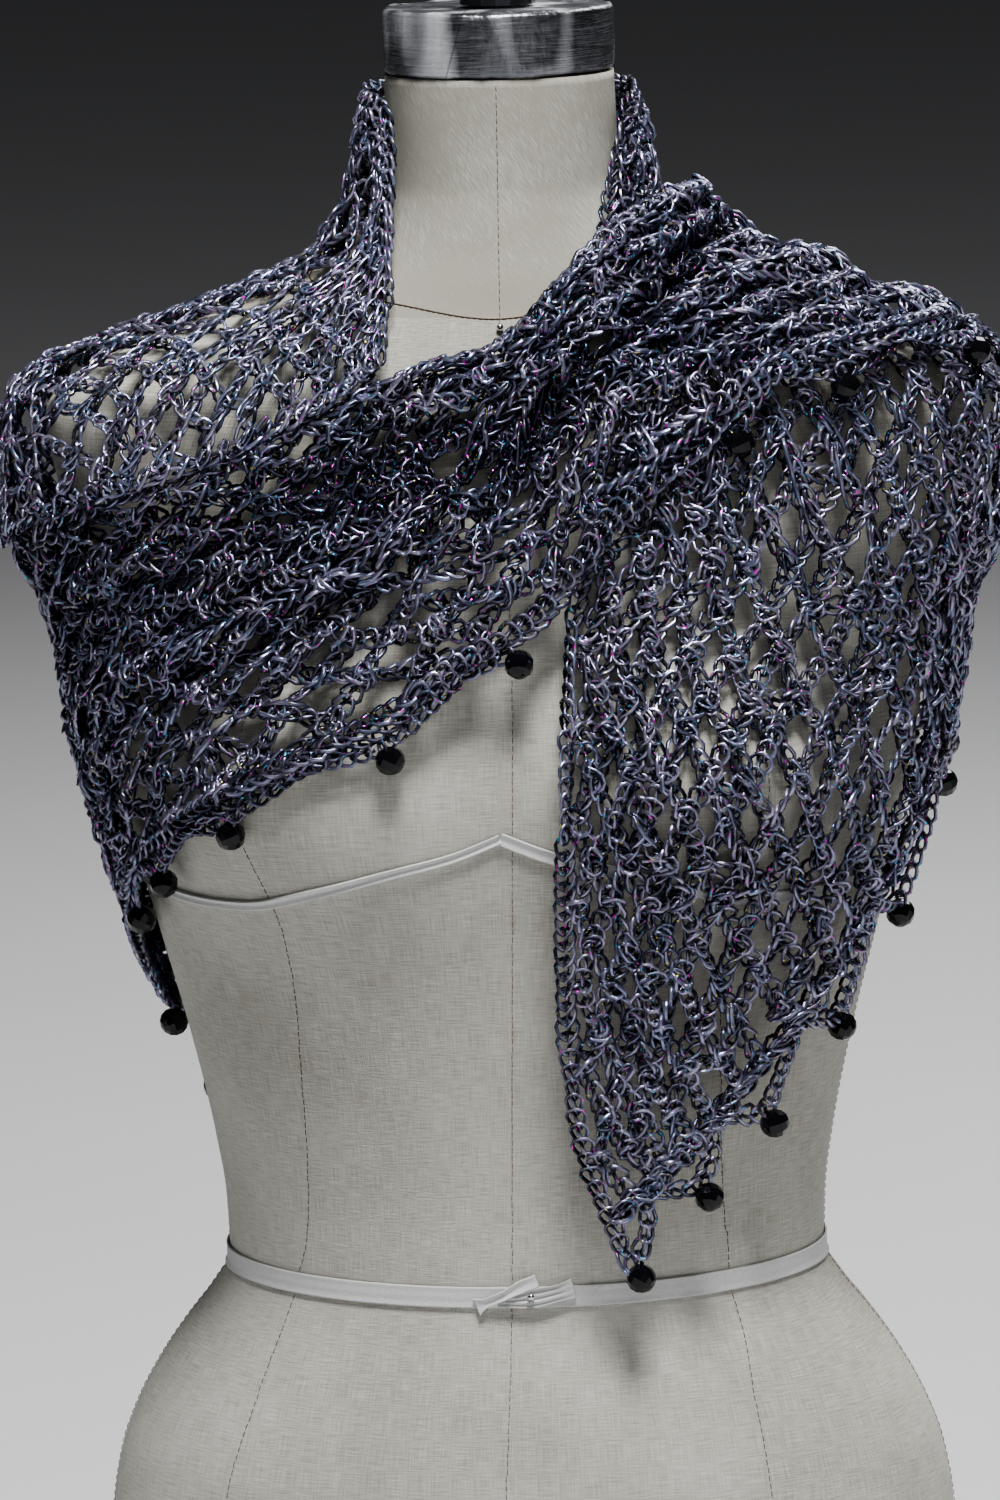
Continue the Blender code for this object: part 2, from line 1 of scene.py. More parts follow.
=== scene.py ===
"""Looks of a crochet shawl on a dress form.

The shawl is remade as the chains of looped yarn that it is worked from, stretch by stretch, on
the same surface as its solids. The form gets its linen, seams, tapes, pins and foil cap, and the
hem gets its cut glass beads. Everything is in metres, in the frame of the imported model.
"""

import enum
import json
import logging
import math
from dataclasses import dataclass
from typing import Callable, Iterable, Sequence

import bmesh
import bpy
import numpy as np
from mathutils import Matrix, Vector

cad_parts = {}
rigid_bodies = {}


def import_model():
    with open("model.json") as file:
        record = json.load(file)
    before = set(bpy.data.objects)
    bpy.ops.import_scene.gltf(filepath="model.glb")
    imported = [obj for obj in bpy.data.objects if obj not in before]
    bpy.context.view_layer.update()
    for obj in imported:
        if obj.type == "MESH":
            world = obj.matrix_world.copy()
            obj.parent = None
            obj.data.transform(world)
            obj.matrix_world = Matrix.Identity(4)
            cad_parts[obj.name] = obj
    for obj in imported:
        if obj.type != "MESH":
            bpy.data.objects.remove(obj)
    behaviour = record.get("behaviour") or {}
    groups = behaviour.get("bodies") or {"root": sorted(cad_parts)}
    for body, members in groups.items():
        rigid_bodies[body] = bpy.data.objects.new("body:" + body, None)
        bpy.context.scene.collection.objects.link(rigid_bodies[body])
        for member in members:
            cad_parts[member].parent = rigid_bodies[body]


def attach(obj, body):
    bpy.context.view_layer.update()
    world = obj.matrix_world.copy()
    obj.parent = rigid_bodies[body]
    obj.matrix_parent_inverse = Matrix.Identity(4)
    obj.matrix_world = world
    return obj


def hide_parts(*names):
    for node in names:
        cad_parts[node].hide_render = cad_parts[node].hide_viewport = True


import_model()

Array = np.ndarray
Rows = tuple[tuple[float, ...], ...]
Colour = tuple[float, float, float]
LOG = logging.getLogger("shawl")
BODY = "root"
MM = 0.001
LEAST_LIFT = 0.0012  # the closest that a net lies to the drape surface
UNDER_LIGHT = 0.35  # light on the layer under the swag
FOLD_CREST = 0.006  # height of a full fold, and depth of a full crease
BETWEEN_FOLDS = 0.28  # light lost between two folds
IN_CREASE = 0.72  # light lost at the bottom of a full crease
KNOT_REACH, KNOT_LEAN, KNOT_LIFT = 0.0030, 0.004, 0.0010
LINE_STEPS = 12  # steps along each joined piece of a border
TAPE_RADIUS = 0.095  # mean radius of the form under its tapes


class FoldWay(enum.Enum):
    """Which way the folds of a stretch run."""

    NONE = "none"
    ALONG = "along"
    TO_HEM = "to_hem"


class RowSpacing(enum.Enum):
    """How the rows of the net are spaced between the straight edge and the hem."""

    BY_LENGTH = "by_length"
    BY_SHARE = "by_share"


def smooth_between(places: Sequence[float], values: Sequence[float], query: Array) -> Array:
    """Read a curve that never overshoots its table.

    Args:
        places: growing places of the table.
        values: values at those places.
        query: places to read.

    Returns:
        The values at the query places.
    """
    x, y = np.asarray(places, float), np.asarray(values, float)
    q = np.clip(query, x[0], x[-1])
    step = np.diff(x)
    slope = np.diff(y) / step
    tangent = np.zeros_like(y)
    tangent[0], tangent[-1] = slope[0], slope[-1]
    for i in range(1, len(y) - 1):
        if slope[i - 1] * slope[i] > 0:
            before = 2 * step[i] + step[i - 1]
            after = step[i] + 2 * step[i - 1]
            tangent[i] = (before + after) / (before / slope[i - 1] + after / slope[i])
    i = np.clip(np.searchsorted(x, q, side="right") - 1, 0, len(step) - 1)
    t = (q - x[i]) / step[i]
    start = y[i] * (1 + 2 * t) * (1 - t) ** 2 + tangent[i] * step[i] * t * (1 - t) ** 2
    return start + y[i + 1] * t * t * (3 - 2 * t) + tangent[i + 1] * step[i] * t * t * (t - 1)


def unit(vectors: Array) -> Array:
    """Vectors of length one, with none divided by nothing."""
    return vectors / np.maximum(np.linalg.norm(vectors, axis=-1, keepdims=True), 1e-12)


def bell(place: Array, middle: Array, spread: Array) -> Array:
    """One at the middle, falling to nothing on both sides."""
    return np.exp(-((place - middle) / spread) ** 2)


def run_lengths(points: Array, axis: int = 0) -> Array:
    """Length of lines of points up to each point, from zero."""
    steps = np.linalg.norm(np.diff(points, axis=axis), axis=-1)
    return np.concatenate([np.zeros_like(steps.take([0], axis)), np.cumsum(steps, axis)], axis)


@dataclass(frozen=True)
class RingTable:
    """Oval rings: height, half width, front depth and back depth of each."""

    rows: Rows

    def column(self, index: int, height: Array) -> Array:
        """One column of the table at each height."""
        table = np.array(self.rows)
        return smooth_between(table[:, 0], table[:, index], height)

    def radius(self, angle: Array, height: Array) -> Array:
        """Distance from the axis to the ring, with angles in radians from centre front."""
        depth = np.where(np.cos(angle) > 0, self.column(2, height), self.column(3, height))
        return 1 / np.hypot(np.sin(angle) / self.column(1, height), np.cos(angle) / depth)


@dataclass(frozen=True)
class BodyShape:
    """The form's surface, and the surface that the innermost cloth lies on."""

    top: float = 0.6848
    bust_angle: float = 38.0
    bust_height: float = 0.428
    bust_round: float = 17.0
    bust_up: float = 0.036
    bust_rise: float = 0.024
    clearance: float = 0.0028
    blend: float = 30.0
    turn_step: float = 1e-4
    rise_step: float = 1e-5
    form: RingTable = RingTable((
        (0.000, 0.1580, 0.1040, 0.1140),
        (0.040, 0.1610, 0.1080, 0.1210),
        (0.110, 0.1610, 0.1110, 0.1240),
        (0.139, 0.1600, 0.1100, 0.1210),
        (0.164, 0.1560, 0.1080, 0.1150),
        (0.183, 0.1490, 0.1050, 0.1070),
        (0.201, 0.1390, 0.1010, 0.0990),
        (0.216, 0.1284, 0.0970, 0.0920),
        (0.228, 0.1190, 0.0940, 0.0870),
        (0.240, 0.1125, 0.0920, 0.0850),
        (0.262, 0.1132, 0.0920, 0.0850),
        (0.287, 0.1167, 0.0930, 0.0870),
        (0.327, 0.1253, 0.0970, 0.0920),
        (0.362, 0.1345, 0.1010, 0.0990),
        (0.400, 0.1440, 0.1060, 0.1070),
        (0.430, 0.1500, 0.1080, 0.1110),
        (0.460, 0.1530, 0.1050, 0.1110),
        (0.490, 0.1570, 0.0990, 0.1080),
        (0.520, 0.1640, 0.0920, 0.1040),
        (0.545, 0.1710, 0.0840, 0.0990),
        (0.560, 0.1730, 0.0780, 0.0950),
        (0.570, 0.1680, 0.0730, 0.0900),
        (0.578, 0.1560, 0.0690, 0.0850),
        (0.586, 0.1370, 0.0650, 0.0810),
        (0.594, 0.1150, 0.0610, 0.0770),
        (0.602, 0.0930, 0.0570, 0.0720),
        (0.612, 0.0710, 0.0530, 0.0660),
        (0.622, 0.0570, 0.0490, 0.0600),
        (0.634, 0.0475, 0.0455, 0.0540),
        (0.645, 0.0438, 0.0430, 0.0500),
        (0.670, 0.0430, 0.0420, 0.0460),
        (0.6848, 0.0425, 0.0420, 0.0430),
    ))
    drape: RingTable = RingTable((
        (0.200, 0.1240, 0.1080, 0.1120),
        (0.240, 0.1240, 0.1110, 0.1130),
        (0.300, 0.1270, 0.1140, 0.1140),
        (0.340, 0.1340, 0.1160, 0.1150),
        (0.364, 0.1400, 0.1180, 0.1160),
        (0.396, 0.1505, 0.1200, 0.1170),
        (0.430, 0.1590, 0.1210, 0.1170),
        (0.450, 0.1630, 0.1190, 0.1160),
        (0.470, 0.1660, 0.1150, 0.1150),
        (0.490, 0.1710, 0.1090, 0.1130),
        (0.508, 0.1800, 0.1040, 0.1110),
        (0.522, 0.1830, 0.1000, 0.1090),
        (0.540, 0.1830, 0.0950, 0.1060),
        (0.556, 0.1830, 0.0890, 0.1020),
        (0.568, 0.1800, 0.0830, 0.0980),
        (0.576, 0.1710, 0.0790, 0.0940),
        (0.584, 0.1530, 0.0750, 0.0900),
        (0.592, 0.1300, 0.0710, 0.0860),
        (0.600, 0.1080, 0.0670, 0.0820),
        (0.608, 0.0880, 0.0630, 0.0770),
        (0.616, 0.0720, 0.0600, 0.0720),
        (0.626, 0.0630, 0.0560, 0.0660),
        (0.638, 0.0570, 0.0530, 0.0600),
        (0.650, 0.0540, 0.0510, 0.0560),
        (0.676, 0.0490, 0.0480, 0.0510),
        (0.690, 0.0470, 0.0470, 0.0490),
        (0.706, 0.0465, 0.0470, 0.0490),
    ))

    def form_radius(self, angle: Array, height: Array) -> Array:
        """Radius of the form with its two bust cups.

        Args:
            angle: radians from centre front, towards the form's left side.
            height: metres above the base.

        Returns:
            The radius at each angle and height.
        """
        degrees = (np.degrees(angle) + 180) % 360 - 180
        across = (np.abs(degrees) - self.bust_angle) / self.bust_round
        up = (height - self.bust_height) / self.bust_up
        return self.form.radius(angle, height) + self.bust_rise * np.exp(-(across ** 2 + up ** 2) / 2)

    def drape_radius(self, angle: Array, height: Array) -> Array:
        """Radius of the surface under the cloth, always clear of the form.

        Args:
            angle: radians from centre front.
            height: metres above the base.

        Returns:
            The radius at each angle and height.
        """
        span = self.drape.radius(angle, height)
        least = self.form_radius(angle, height) + self.clearance
        return (span ** self.blend + least ** self.blend) ** (1 / self.blend)

    def lifted(self, radius: Callable[[Array, Array], Array], angle: Array, height: Array,
               lift: Array) -> Array:
        """Points raised from a surface along its normal.

        Args:
            radius: the surface's radius at an angle and height.
            angle: radians from centre front.
            height: metres above the base.
            lift: metres out from the surface.

        Returns:
            Points, with a last axis of three.
        """
        def point(a: Array, h: Array) -> Array:
            """Point of the surface."""
            r = radius(a, h)
            return np.stack([r * np.sin(a), -r * np.cos(a), h + 0 * r], -1)

        round_way = point(angle + self.turn_step, height) - point(angle - self.turn_step, height)
        up_way = point(angle, height + self.rise_step) - point(angle, height - self.rise_step)
        return point(angle, height) + unit(np.cross(round_way, up_way)) * np.asarray(lift)[..., None]

    def on_form(self, degrees: Array, height: Array, lift: Array) -> Array:
        """Points raised from the form's own surface."""
        angle, height = np.broadcast_arrays(np.radians(degrees), height)
        return self.lifted(self.form_radius, angle, height, lift + 0 * angle)


SHAPE = BodyShape()


class Outline:
    """Length along the side outline of the drape surface, for even steps over the shoulder."""

    def __init__(self, shape: BodyShape, steps: int = 400) -> None:
        """Measure the outline once.

        Args:
            shape: the form's shape.
            steps: even steps of height.
        """
        self.heights = np.linspace(shape.drape.rows[0][0], shape.drape.rows[-1][0], steps)
        self.runs = run_lengths(np.stack([self.heights, shape.drape.column(1, self.heights)], -1))

    def run(self, height: Array) -> Array:
        """Length up to a height."""
        return np.interp(height, self.heights, self.runs)

    def height(self, run: Array) -> Array:
        """Height at a length."""
        return np.interp(run, self.runs, self.heights)


OUTLINE = Outline(SHAPE)


@dataclass(frozen=True)
class StretchPlan:
    """One stretch of the shawl, by the same table as its solid.

    Each row is a cross line: angle and height at the straight edge, angle and height at the hem,
    lift at each in millimetres, and 1 where a bead hangs. In its methods share is the place along
    the stretch, 0 to 1, and across the place from the straight edge, 0, to the hem, 1.
    """

    name: str
    rows: Rows
    folds: Rows = ()
    way: FoldWay = FoldWay.NONE
    crease: Rows = ()

    def column(self, index: int, along: Array) -> Array:
        """One column at places counted in rows."""
        table = np.array(self.rows)
        return smooth_between(np.arange(len(table)), table[:, index], along)

    def stepped(self, along: Array) -> Array:
        """One where the hem steps in between two beads, fading to nothing elsewhere.

        Args:
            along: places counted in rows.

        Returns:
            Values from 0 to 1.
        """
        beads = np.array([row[6] for row in self.rows])
        both = beads[:-1] * beads[1:]
        return np.interp(along, np.arange(len(both)) + 0.5, both)

    def crease_profile(self, share: Array, across: Array) -> tuple[Array, Array]:
        """How deep the crease between two bands is at its bottom, and how near a place is to it.

        Args:
            share: places along.
            across: places across.

        Returns:
            The bottom's depth in metres, and nearness from 0 to 1.
        """
        if not self.crease:
            nothing = np.zeros(np.broadcast(share, across).shape)
            return nothing, nothing
        places, *columns = np.array(self.crease).T
        middle, width, depth = (smooth_between(places, column, share) for column in columns)
        return depth * MM + 0 * across, bell(across, middle, width)

    def light_share(self, share: Array, across: Array) -> Array:
        """How much light reaches a place: less in the crease and between the folds.

        Args:
            share: places along.
            across: places across.

        Returns:
            Shares of the full light.
        """
        # painted shade: the crease bottom and the hollows between folds are darkened in the yarn's colour
        depth, near = self.crease_profile(share, across)
        crest = 1 + 0 * near
        if self.way is FoldWay.ALONG:
            crest = np.clip(self.relief(share, across) / FOLD_CREST, 0, 1)
        dip = near * np.clip(depth / FOLD_CREST, 0, 1)
        return (1 - BETWEEN_FOLDS + BETWEEN_FOLDS * crest) * (1 - IN_CREASE * dip)

    def relief(self, share: Array, across: Array) -> Array:
        """Height of the folds.

        Args:
            share: places along.
            across: places across.

        Returns:
            Metres that the folds rise.
        """
        rise = np.zeros(np.broadcast(share, across).shape)
        for fold in self.folds:
            if self.way is FoldWay.ALONG:
                first, last, spread, *heights = fold
                height = smooth_between([0, 0.5, 1], heights, share) * MM
                rise = rise + height * bell(across, first + (last - first) * share, spread)
            else:
                place, spread, height = fold
                rise = rise + height * MM * bell(share, place, spread) * np.sin(0.5 * math.pi * across)
        return rise

    def place(self, along: Array, across: Array) -> tuple[Array, Array, Array]:
        """Where a place on the stretch lies.

        Args:
            along: places counted in rows.
            across: places across.

        Returns:
            Angle in radians, height and lift.
        """
        edge, hem = np.radians(self.column(0, along)), np.radians(self.column(2, along))
        edge_run, hem_run = OUTLINE.run(self.column(1, along)), OUTLINE.run(self.column(3, along))
        lift = (self.column(4, along) * (1 - across) + self.column(5, along) * across) * MM
        share = along / (len(self.rows) - 1)
        depth, near = self.crease_profile(share, across)
        lift = lift + self.relief(share, across) - depth * near
        height = OUTLINE.height(edge_run + (hem_run - edge_run) * across)
        return edge + (hem - edge) * across, height, lift


class Surface:
    """A fine grid of a stretch's points and normals, read by shares along and across."""

    def __init__(self, plan: StretchPlan, sink: float = 0.0, long_steps: int = 260,
                 cross_steps: int = 180) -> None:
        """Work out the grid.

        Args:
            plan: the stretch.
            sink: how far to lie under the stretch's own surface, never under the least lift.
            long_steps: steps along the straight edge.
            cross_steps: steps from the straight edge to the hem.
        """
        along = np.linspace(0, len(plan.rows) - 1, long_steps + 1)[:, None]
        across = np.linspace(0, 1, cross_steps + 1)[None, :]
        angle, height, lift = plan.place(along, across)
        # painted shade: light share of each grid point, lower still on the layer under the swag
        light = plan.light_share(along / (len(plan.rows) - 1), across)
        self.light = (light * (UNDER_LIGHT if sink else 1.0))[..., None]
        self.points = SHAPE.lifted(SHAPE.drape_radius, angle, height, np.maximum(lift - sink, LEAST_LIFT))
        normals = unit(np.cross(np.gradient(self.points, axis=0), np.gradient(self.points, axis=1)))
        middle = cross_steps // 2
        self.normals = normals * np.sign((normals[:, middle] * self.points[:, middle] * (1, 1, 0)).sum())
        self.cross_length = run_lengths(self.points, 1)
        self.shares = np.linspace(0, 1, cross_steps + 1)
        self.along_shares = np.linspace(0, 1, long_steps + 1)

    def read(self, grid: Array, along: Array, across: Array) -> Array:
        """Values between the grid's points.

        Args:
            grid: values at the grid's points, with a last axis of its own.
            along: shares along.
            across: shares across.

        Returns:
            The values at those shares.
        """
        rows, columns = grid.shape[:2]
        u = np.clip(along, 0, 1) * (rows - 1)
        v = np.clip(across, 0, 1) * (columns - 1)
        i = np.minimum(u.astype(int), rows - 2)
        j = np.minimum(v.astype(int), columns - 2)
        s, t = (u - i)[..., None], (v - j)[..., None]
        near = grid[i, j] * (1 - t) + grid[i, j + 1] * t
        far = grid[i + 1, j] * (1 - t) + grid[i + 1, j + 1] * t
        return near * (1 - s) + far * s

    def at(self, along: Array, across: Array) -> tuple[Array, Array]:
        """Points and normals at shares along and across."""
        return self.read(self.points, along, across), unit(self.read(self.normals, along, across))

    def across_at(self, distance: float) -> Array:
        """Share across on every cross line, at a distance from the straight edge."""
        return np.array([np.interp(distance, lengths, self.shares) for lengths in self.cross_length])

    def width_at(self, along: Array) -> Array:
        """Length of the cross line at shares along."""
        return np.interp(along, self.along_shares, self.cross_length[:, -1])


@dataclass(frozen=True)
class Stitch:
    """One chain stitch: a loop drawn through the loop before it, and a strand behind it."""

    pitch: float = 0.0057
    height: float = 0.0082
    half_width: float = 0.0036
    neck: float = 0.0007
    depth: float = 0.0008
    yarn_radius: float = 0.00104
    loop_points: int = 10
    back_points: int = 3
    sides: int = 3
    twist: float = 0.4
    winding: float = 0.4
    turned: float = 0.5
    uneven: float = 0.14
    overlap: float = 0.2
    narrow: float = 0.40
    round: float = 0.75
    ripple: float = 0.35
    back_rise: float = 0.65
    back_dip: float = 2.0
    least_stretch: float = 0.6
    most_stretch: float = 1.6
    # painted shade: light on the yarn from the deepest to the highest point of a loop
    shade_depths: tuple[float, float] = (-1.3, 1.1)
    shades: tuple[float, float] = (0.04, 1.0)

    @property
    def points(self) -> int:
        """Points on one stitch."""
        return self.loop_points + self.back_points

    def path(self) -> tuple[Array, Array, Array]:
        """Places of the yarn on one stitch.

        Returns:
            Places across the chain, along it and out of it.
        """
        turn = np.arange(self.loop_points) / self.loop_points * 2 * math.pi
        back = np.arange(self.back_points) / self.back_points
        full = (1 - np.cos(turn)) / 2
        loop = -self.half_width * np.sin(turn) * (self.narrow + self.round * full)
        across = np.concatenate([loop - self.neck * np.cos(turn / 2), self.neck * np.cos(math.pi * back)])
        along = np.concatenate([self.height * full, self.pitch * back]) - self.overlap * self.pitch
        front = np.cos(turn) - self.ripple * np.cos(2 * turn)
        behind = self.back_rise - self.back_dip * np.sin(math.pi * back)
        return across, along, self.depth * np.concatenate([front, behind])


@dataclass
class ChainBatch:
    """Chains of the same number of stitches, each a line of shares on a surface."""

    along: Array
    across: Array
    stitches: int

    def shares(self, part: Array) -> Iterable[Array]:
        """Read every chain's line.

        Args:
            part: parts of each chain's length, 0 to 1.

        Yields:
            The shares along, then the shares across.
        """
        steps = np.linspace(0, 1, self.along.shape[1])
        for rows in (self.along, self.across):
            yield np.stack([np.interp(part, steps, row) for row in rows])


def mesh_piece(name: str, points: Array, faces: Sequence[Sequence[int]],
               turn: bool = True) -> bpy.types.Object:
    """A smooth object from points and faces.

    Args:
        name: the object's name.
        points: its points.
        faces: point numbers of each face.
        turn: whether its faces have yet to be turned outwards.

    Returns:
        The object, in the scene.
    """
    mesh = bpy.data.meshes.new(name)
    mesh.from_pydata(points.tolist(), [], faces)
    if turn:
        shape = bmesh.new()
        shape.from_mesh(mesh)
        bmesh.ops.recalc_face_normals(shape, faces=shape.faces)
        shape.to_mesh(mesh)
        shape.free()
    mesh.shade_smooth()
    piece = bpy.data.objects.new(name, mesh)
    bpy.context.collection.objects.link(piece)
    return piece


class YarnMesh:
    """Collects tubes of yarn and joins them into one mesh."""

    def __init__(self, name: str, stitch: Stitch, seed: int) -> None:
        """Start an empty mesh with its own random draws.

        Args:
            name: name of the piece.
            stitch: the stitch that its chains are worked in.
            seed: start of its random draws.
        """
        self.name = name
        self.stitch = stitch
        self.draws = np.random.default_rng(seed)
        self.points: list[Array] = []
        self.faces: list[Array] = []
        self.maps: list[Array] = []
        self.lights: list[Array] = []
        self.count = 0
        self.yarn_length = 0.0

    def chains(self, surface: Surface, batch: ChainBatch, lift: float = 0.0) -> None:
        """Work chains along lines on a surface.

        Args:
            surface: the surface that carries them.
            batch: their lines and their number of stitches.
            lift: metres out from the surface.
        """
        stitch, chains, number = self.stitch, len(batch.along), batch.stitches
        across, along, out = (np.tile(part, number) for part in stitch.path())
        share = (np.repeat(np.arange(number), stitch.points) + along / stitch.pitch) / number
        inside = np.clip(share, 0.0, 1.0)
        probe = 0.5 / (number * stitch.points)
        base, normal = surface.at(*batch.shares(inside))
        ahead, _ = surface.at(*batch.shares(np.minimum(inside + probe, 1)))
        behind, _ = surface.at(*batch.shares(np.maximum(inside - probe, 0)))
        way = unit(ahead - behind)
        side = unit(np.cross(normal, way))
        line, _ = surface.at(*batch.shares(np.linspace(0, 1, 9)))
        length = run_lengths(line, 1)[:, -1:]
        stretch = np.clip(length / number / stitch.pitch, stitch.least_stretch, stitch.most_stretch)
        size = 1 + stitch.uneven * self.draws.normal(0, 1, (chains, number)).clip(-2, 2)
        size = np.repeat(size, stitch.points, axis=1)
        lean = self.draws.normal(0, stitch.twist, (chains, 1))
        lean = lean + math.pi * (self.draws.random((chains, 1)) < stitch.turned)
        lean = lean + np.linspace(-0.5, 0.5, len(share)) * self.draws.normal(0, stitch.winding, (chains, 1))
        wide, deep = across * size / np.sqrt(stretch), out * size
        sideways = wide * np.cos(lean) - deep * np.sin(lean)
        upwards = wide * np.sin(lean) + deep * np.cos(lean)
        path = base + way * ((share - inside) * length)[..., None] + side * sideways[..., None]
        path = path + np.cross(way, side) * (upwards + lift)[..., None]
        # painted shade: the stretch's painted light at each point, darkened where the yarn lies under the
        # loops around it
        light = surface.read(surface.light, *batch.shares(inside))[..., 0]
        light = light * np.interp(upwards, np.array(stitch.shade_depths) * stitch.depth, stitch.shades)
        self.tube(path, normal, stitch.yarn_radius, light, stitch.sides)

    def tube(self, path: Array, normal: Array, radius: float, light: Array, sides: int = 3) -> None:
        """Add a closed tube round each path.

        Args:
            path: middles of the tubes, tubes by points by three.
            normal: a direction that no path follows for long.
            radius: the yarn's radius.
            light: light on each point of the paths.
            sides: sides of the tube.
        """
        tubes, count = path.shape[:2]
        way = unit(np.gradient(path, axis=1))
        side = unit(np.cross(way, normal + 1e-4))
        up = np.cross(side, way)
        turn = np.arange(sides) * 2 * math.pi / sides
        ring = side[:, :, None] * np.cos(turn)[:, None] + up[:, :, None] * np.sin(turn)[:, None]
        self.points.append((path[:, :, None] + radius * ring).reshape(-1, 3))
        self.lights.append(np.repeat(light, sides, axis=1).ravel())
        ids = self.count + np.arange(tubes * count * sides).reshape(tubes, count, sides)
        a, b = ids[:, :-1], ids[:, 1:]
        self.faces.append(np.stack([a, np.roll(a, -1, 2), np.roll(b, -1, 2), b], -1).reshape(-1, 4))
        runs = run_lengths(path, 1)
        self.yarn_length += float(runs[:, -1].sum())
        runs = runs / MM + self.draws.uniform(0, 500, (tubes, 1))
        u0, u1 = (np.repeat(part[:, :, None], sides, 2) for part in (runs[:, :-1], runs[:, 1:]))
        v0 = np.broadcast_to(np.arange(sides) / sides, u0.shape)
        v1 = v0 + 1 / sides
        corners = [np.stack(corner, -1) for corner in ((u0, v0), (u0, v1), (u1, v1), (u1, v0))]
        self.maps.append(np.stack(corners, -2).reshape(-1, 4, 2))
        for end, order in ((0, slice(None, None, -1)), (-1, slice(None))):
            caps = ids[:, end][:, order]
            self.faces.append(np.concatenate([caps, caps[:, -1:]], 1) if sides == 3 else caps)
            self.maps.append(np.zeros((tubes, 4, 2)))
        self.count += tubes * count * sides

    def finish(self) -> bpy.types.Object:
        """Join all tubes into one object.

        Returns:
            The object, with a map along its yarn and the light on each point.
        """
        faces, maps = np.concatenate(self.faces), np.concatenate(self.maps)
        ends = faces[:, 2] == faces[:, 3]
        rows = faces[~ends].tolist() + faces[ends][:, :3].tolist()
        uv = np.concatenate([maps[~ends].reshape(-1, 2), maps[ends][:, :3].reshape(-1, 2)])
        piece = mesh_piece(self.name, np.concatenate(self.points), rows, turn=False)
        piece.data.uv_layers.new(name="yarn").data.foreach_set("uv", uv.astype(np.float32).ravel())
        light = piece.data.attributes.new("light", "FLOAT", "POINT")
        light.data.foreach_set("value", np.concatenate(self.lights).astype(np.float32))
        piece.data.validate()
        LOG.info("%s: %.1f m of yarn", self.name, self.yarn_length)
        return piece


@dataclass(frozen=True)
class NetPlan:
    """Spacing of the net on one stretch."""

    row_gap: float = 0.0090
    near_gap: float = 0.0062
    near_width: float = 0.055
    node_gap: float = 0.0300
    spacing: RowSpacing = RowSpacing.BY_LENGTH
    rows: int = 0
    span: tuple[float, float, float] = (0.0, 0.5, 1.0)
    first: float = 0.011
    border: tuple[float, ...] = (0.0030, 0.0085)
    shift: float = 0.0016
    stray: float = 0.0009
    reach: float = 1.7
    tie_reach: float = 2.4
    ties: float = 0.12
    step: float = 0.022
    corner: float = 0.95
    hem: bool = True
    level: float | None = None
    raised_hem: float = 0.0
    tip_width: float = 0.020
    row_slack: float = 0.2
    end_gap: float = 0.35
    bow: float = 0.08
    rim: float = 0.002
    # painted light: scales the net's painted light, brighter on the cape, darker on the hanging end
    tone: float = 1.0


@dataclass(frozen=True)
class SheetCut:
    """The flat cut of one stretch: its width and length, its flat area and how it is held."""

    width: float
    length: float
    area: float
    held: str = "draped"


@dataclass(frozen=True)
class NetJob:
    """One net: its stretch, spacing and stitch, start of its random draws, and its flat cut."""

    plan: StretchPlan
    net: NetPlan
    stitch: Stitch
    seed: int
    cut: SheetCut
    suffix: str = "net"
    sink: float = 0.0


@dataclass
class NetRow:
    """A run of net nodes at one distance from the straight edge."""

    along: Array
    across: Array
    points: Array
    ends: Array


